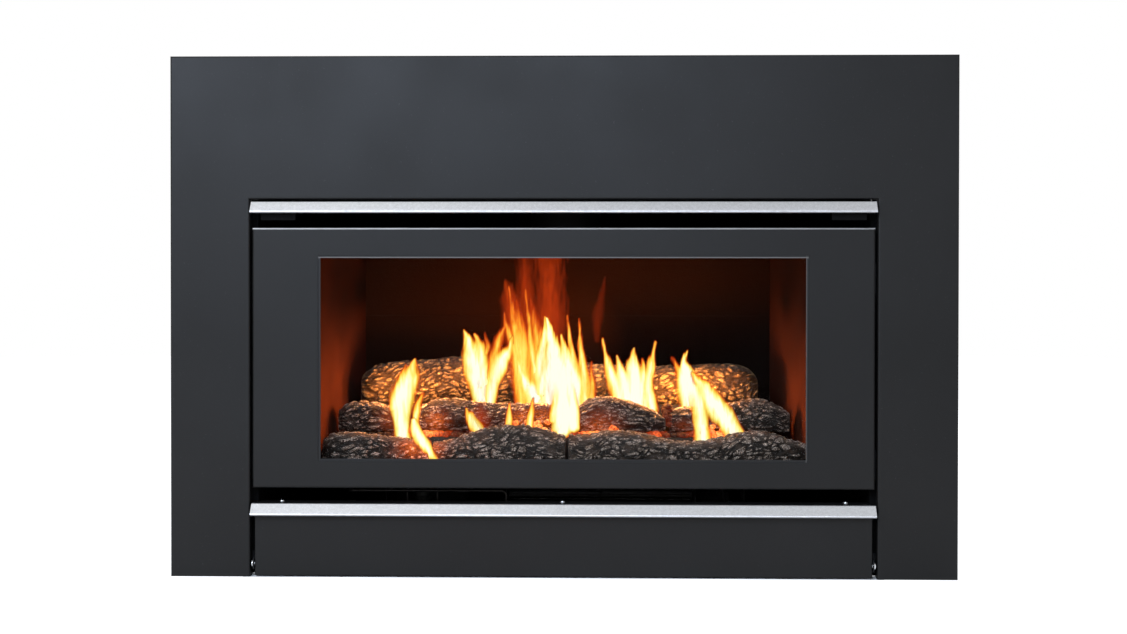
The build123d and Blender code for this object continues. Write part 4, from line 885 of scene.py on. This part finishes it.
def make_embers():
    """A bed of coals between the logs, in place of the plain ember solid and its heaps."""
    low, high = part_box("ember_bed")
    chance = random.Random(12)
    coals = {"points": [], "faces": [], "warmth": []}
    pitch, rows, inset = 0.0105, 6, 0.007
    for i in range(int((high.x - low.x) / pitch)):
        for j in range(rows):
            share = (j + chance.uniform(0.2, 0.8)) / rows
            place = Vector((low.x + pitch * (i + chance.uniform(0.2, 0.8)),
                            low.y + inset + (high.y - low.y - 2 * inset) * share,
                            low.z + chance.uniform(0.001, 0.003)))
            warmth = glow_at(place.x) * chance.uniform(0.7, 1.0)
            add_lump(coals, place, chance.uniform(0.0048, 0.0072), warmth, chance)
    bed_top, sink = low.z + 0.0085, 0.0025
    heaps = [v.co.copy() for v in nodes["ember_bed"].data.vertices if v.co.z > bed_top]
    for place in chance.sample(heaps, min(HEAP_COALS, len(heaps))):
        place.z -= sink
        warmth = glow_at(place.x) * chance.uniform(0.7, 1.0)
        add_lump(coals, place, chance.uniform(0.0038, 0.0056), warmth, chance)
    count, ranges = GAP_COALS
    for _ in range(count):
        place = Vector([chance.uniform(*limits) for limits in ranges]) * MM
        add_lump(coals, place, chance.uniform(0.0045, 0.0065), 0.05, chance)
    piece = new_piece("ember_coals", coals["points"], coals["faces"], ember("glowing_coal"))
    set_attribute(piece, "warmth", coals["warmth"])
    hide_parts("ember_bed")


# ---------------------------------------- flames
# All sizes of the flames are in millimetres. Each flame: its depth y, then its tongues. A
# tongue: how hot, how dense, and points (x, z, half width) up its middle.
FLAMES = {
    "left": (62, [
        (1.0, 1.0, [(-223, 174, 10), (-226, 205, 10), (-225, 233, 15), (-215, 260, 14),
                    (-207, 288, 1)]),
        (0.45, 0.9, [(-236, 222, 6), (-231, 243, 7), (-225, 262, 4), (-220, 280, 1)])]),
    "left_curl": (63, [
        (0.5, 0.95, [(-203, 180, 4), (-206, 204, 4), (-203, 222, 5), (-195, 242, 1)])]),
    "tail": (1, [
        (0.9, 1.0, [(-202, 208, 2), (-196, 188, 7), (-182, 168, 7), (-169, 146, 2)])]),
    "twin_left": (121, [
        (1.05, 1.0, [(-116, 208, 10), (-119, 236, 11), (-128, 275, 15), (-134, 302, 12),
                     (-144, 328, 1)]),
        (0.65, 0.9, [(-113, 250, 8), (-119, 284, 10), (-121, 306, 8), (-128, 322, 2)])]),
    "twin_smoke": (68, [(0.07, 0.32, [(-117, 180, 12), (-117, 204, 12), (-117, 226, 9)])]),
    "twin_curl": (66, [
        (0.8, 1.0, [(-112, 178, 3), (-120, 191, 7), (-129, 204, 7), (-136, 219, 1)])]),
    "twin_right": (120, [
        (0.85, 1.0, [(-108, 216, 6), (-103, 250, 8), (-91, 283, 11), (-80, 300, 7), (-74, 318, 1)]),
        (0.28, 0.9, [(-106, 262, 5), (-101, 290, 7), (-92, 318, 6), (-80, 339, 1)]),
        (0.28, 0.8, [(-112, 296, 3), (-110, 306, 3), (-114, 324, 1)])]),
    "strands": (121, [
        (0.24, 0.85, [(-50, 218, 16), (-54, 265, 21), (-60, 303, 18), (-66, 338, 11),
                      (-70, 372, 1)]),
        (0.30, 0.9, [(-62, 220, 8), (-68, 271, 9), (-74, 304, 8), (-82, 334, 5), (-86, 352, 1)]),
        (0.34, 0.95, [(-50, 220, 8), (-59, 271, 10), (-68, 306, 12), (-73, 342, 8), (-80, 388, 1)]),
        (0.42, 0.9, [(-34, 220, 5), (-42, 271, 5), (-48, 307, 4), (-52, 352, 3), (-56, 384, 1)]),
        (0.9, 1.0, [(-30, 212, 10), (-46, 240, 9), (-60, 262, 6), (-68, 286, 1)]),
        (0.22, 0.8, [(-30, 230, 9), (-36, 300, 12), (-44, 340, 10), (-48, 372, 1)])]),
    "plume": (142, [
        (0.09, 0.70, [(-73, 316, 15), (-75, 348, 14), (-80, 374, 12), (-84, 394, 6)]),
        (0.075, 0.72, [(-28, 285, 10), (-24, 325, 22), (-24, 372, 25), (-26, 436, 26)]),
        (0.06, 0.55, [(-54, 310, 15), (-56, 356, 14), (-58, 400, 12), (-60, 436, 12)])]),
    "heart": (117, [
        (1.3, 1.0, [(-8, 206, 24), (-11, 245, 25), (-14, 278, 18), (-19, 312, 11), (-25, 344, 1)]),
        (1.15, 1.0, [(10, 210, 12), (8, 255, 13), (2, 286, 10), (-5, 320, 1)]),
        (0.75, 0.95, [(-32, 240, 6), (-34, 276, 8), (-30, 318, 5), (-27, 346, 1)]),
        (0.55, 0.95, [(18, 218, 8), (15, 262, 7), (9, 300, 4), (3, 350, 0.7)]),
        (0.48, 0.9, [(29, 214, 7), (27, 262, 7), (22, 304, 4), (20, 346, 0.8)]),
        (0.34, 0.8, [(38, 216, 5), (37, 250, 6), (38, 284, 1)])]),
    "heart_foot": (62, [
        (1.2, 1.0, [(-3, 193, 12), (-1, 210, 13), (-2, 234, 15), (-4, 262, 16)]),
        (1.0, 1.0, [(13, 194, 7), (13, 210, 7), (10, 234, 8), (6, 258, 8)]),
        (0.5, 0.9, [(-15, 205, 4), (-14, 222, 5), (-13, 236, 1)])]),
    "small": (63, [
        (0.55, 0.95, [(-76, 190, 4), (-76, 206, 4), (-75, 226, 1)]),
        (0.55, 0.95, [(-49, 190, 5), (-46, 210, 4), (-42, 236, 1)])]),
    "crown": (119, [
        (0.7, 1.0, [(84, 218, 12), (70, 256, 9), (60, 286, 4), (54, 316, 1)]),
        (1.0, 1.0, [(92, 214, 14), (86, 248, 13), (78, 272, 6), (74, 290, 1)]),
        (1.05, 1.0, [(101, 210, 15), (99, 252, 15), (96, 280, 8), (98, 304, 1)]),
        (0.6, 1.0, [(112, 214, 9), (112, 250, 7), (111, 272, 4), (110, 286, 1)]),
        (0.7, 1.0, [(124, 216, 7), (118, 250, 6), (122, 280, 5), (129, 312, 1)])]),
    "right_apex": (110, [
        (1.15, 1.0, [(183, 208, 15), (179, 238, 17), (171, 264, 12), (168, 283, 5), (173, 301, 1)]),
        (0.3, 0.85, [(172, 240, 8), (161, 268, 6), (150, 290, 1)])]),
    "right_legs": (62, [
        (0.9, 1.0, [(192, 170, 11), (190, 198, 9), (186, 224, 10), (180, 248, 9)]),
        (1.0, 1.0, [(243, 172, 10), (226, 202, 12), (207, 227, 14), (192, 249, 11),
                    (180, 268, 3)])]),
    "red_wisp": (150, [(0.04, 0.16, [(44, 312, 3), (46, 347, 7), (51, 370, 6), (57, 402, 1)])]),
}
FLAME_PITCH = (1.4, 1.9)     # size of a flame's mesh, across and up
FLAME_EDGE = (1.3, 0.8)      # a tongue's reach is its half width times the first, plus the second
THINNEST = 0.8               # half width of a tongue at a sharp tip
HALF_THICKNESS = 5           # of a flame where it is hottest
STREAK_SIZE = (3.2, 20)      # of the streaks that fray a tongue, across and up
SMOKY = 0.15                 # a tongue less hot than this thins out slowly at its edge


def tongue_point(points, t):
    """(x, z, half width) at t along the tongue, smooth through its points."""
    place = t * (len(points) - 1)
    i = min(int(place), len(points) - 2)
    f = place - i
    before, after = points[max(i - 1, 0)], points[min(i + 2, len(points) - 1)]
    x, z, half = (b + 0.5 * f * (c - a + f * (2 * a - 5 * b + 4 * c - d
                                              + f * (3 * b - a - 3 * c + d)))
                  for a, b, c, d in zip(before, points[i], points[i + 1], after))
    return x, z, max(half, THINNEST)


def near_tongue(points):
    """The mesh points near a tongue: how far out each lies, from 0 to 1, and how far up."""
    length = sum(math.dist(a[:2], b[:2]) for a, b in zip(points, points[1:]))
    steps = int(length / 1.5)
    wide, tall = FLAME_PITCH
    near = {}
    for step in range(steps + 1):
        t = step / steps
        x, z, half = tongue_point(points, t)
        reach = half * FLAME_EDGE[0] + FLAME_EDGE[1]
        for i in range(math.ceil((x - reach) / wide), math.floor((x + reach) / wide) + 1):
            for j in range(math.ceil((z - reach) / tall), math.floor((z + reach) / tall) + 1):
                out = math.hypot(i * wide - x, j * tall - z) / reach
                if out < near.get((i, j), (1.0, 0.0))[0]:
                    near[i, j] = (out, t)
    return near


def flame_field(tongues):
    """At each mesh point how warm and how dense the flame is, and how far inside it lies."""
    field = {}
    for heat, density, points in tongues:
        open_top = points[-1][2] > 3     # the last half width: a wide top has no tip
        smoky = heat < SMOKY
        for (i, j), (out, t) in near_tongue(points).items():
            streak = 0.5 + noise.noise(Vector((i * FLAME_PITCH[0] / STREAK_SIZE[0],
                                               j * FLAME_PITCH[1] / STREAK_SIZE[1], heat)))
            inside = max(1 - out - 0.34 * streak * smoothstep(0.30, 0.9, t), 0.0)
            warmth, fade = inside * heat, 1.0
            if open_top:
                fade -= (0.5 if smoky else 1.0) * smoothstep(0.55, 1.0, t)
            else:
                warmth *= 1 - 0.5 * smoothstep(0.45, 1.0, t)
            body = min(inside * (1.3 if smoky else 2.1), 1.0) * density * fade
            old_warmth, old_body, old_inside = field.get((i, j), (0.0, 0.0, 0.0))
            field[i, j] = ((old_warmth ** 4 + warmth ** 4) ** 0.25,
                           max(old_body, body), max(old_inside, inside))
    return field


def make_flame(name, depth, tongues, material, seed):
    """A lens-shaped body of burning gas: a front and a back skin that meet at its edge."""
    field = flame_field(tongues)
    cells = {(i + a, j + b) for i, j in field for a in (0, -1) for b in (0, -1)}
    corners = sorted({(i + a, j + b) for i, j in cells for a in (0, 1) for b in (0, 1)})
    index = {key: n for n, key in enumerate(corners)}
    points, faces, warmth, body = [], [], [], []
    for skin in (-1, 1):
        start = len(points)
        for i, j in corners:
            x, z = i * FLAME_PITCH[0], j * FLAME_PITCH[1]
            warm, dense, inside = field.get((i, j), (0.0, 0.0, 0.0))
            sway = noise.noise_vector(Vector((x / 22, z / 26, seed)))
            flick = noise.noise_vector(Vector((x / 6, z / 17, seed + 9)))
            y = depth + 4 * sway.y + skin * HALF_THICKNESS * math.sqrt(inside)
            points.append(Vector((x + 1.6 * sway.x + 1.0 * flick.x, y,
                                  z + 2.5 * sway.z + 2.2 * flick.z)) * MM)
            warmth.append(warm)
            body.append(dense)
        for i, j in sorted(cells):
            corner = [index[i, j], index[i + 1, j], index[i + 1, j + 1], index[i, j + 1]]
            faces.append([start + n for n in corner])
    piece = new_piece("flame_" + name, points, faces, material)
    set_attribute(piece, "warmth", warmth)
    set_attribute(piece, "body", body)
    piece.visible_shadow = False
    piece.visible_diffuse = False


def make_flames():
    """All the flames, each with a sway of its own."""
    material = flame_gas("burning_gas")
    for number, (name, (depth, tongues)) in enumerate(FLAMES.items()):
        make_flame(name, depth, tongues, material, 2.3 * number)


# Lamps in the flames: place in millimetres, watts and colour.
ORANGE, DEEP_RED = (1.0, 0.42, 0.11), (1.0, 0.24, 0.05)
FIRE_LAMPS = (((-224, 78, 246), 1.3, ORANGE), ((-246, 96, 262), 0.3, ORANGE),
              ((-118, 108, 268), 1.3, ORANGE), ((-12, 106, 262), 2.2, ORANGE),
              ((-44, 124, 330), 1.0, DEEP_RED), ((95, 106, 262), 1.3, ORANGE),
              ((180, 100, 252), 1.6, ORANGE), ((146, 94, 232), 0.5, ORANGE),
              ((230, 88, 250), 0.15, ORANGE), ((-196, -6, 182), 0.22, DEEP_RED))


def light_fire():
    """The light that the flames throw on the logs and the liners."""
    for number, (place, watts, colour) in enumerate(FIRE_LAMPS):
        data = bpy.data.lights.new(f"fire_lamp_{number}", "POINT")
        data.energy = watts
        data.color = colour
        data.shadow_soft_size = 0.016
        lamp = add_object(data.name, data)
        lamp.location = Vector(place) * MM
        lamp.visible_camera = False
        lamp.visible_glossy = False
        lamp.visible_transmission = False


# ---------------------------------------- the scene
bpy.context.scene.view_settings.view_transform = "Standard"
add_camera()
set_world()
add_floor()
add_studio_lamps()
light_fire()
dress_nodes()
make_corner_seals()
make_logs()
make_embers()
make_flames()
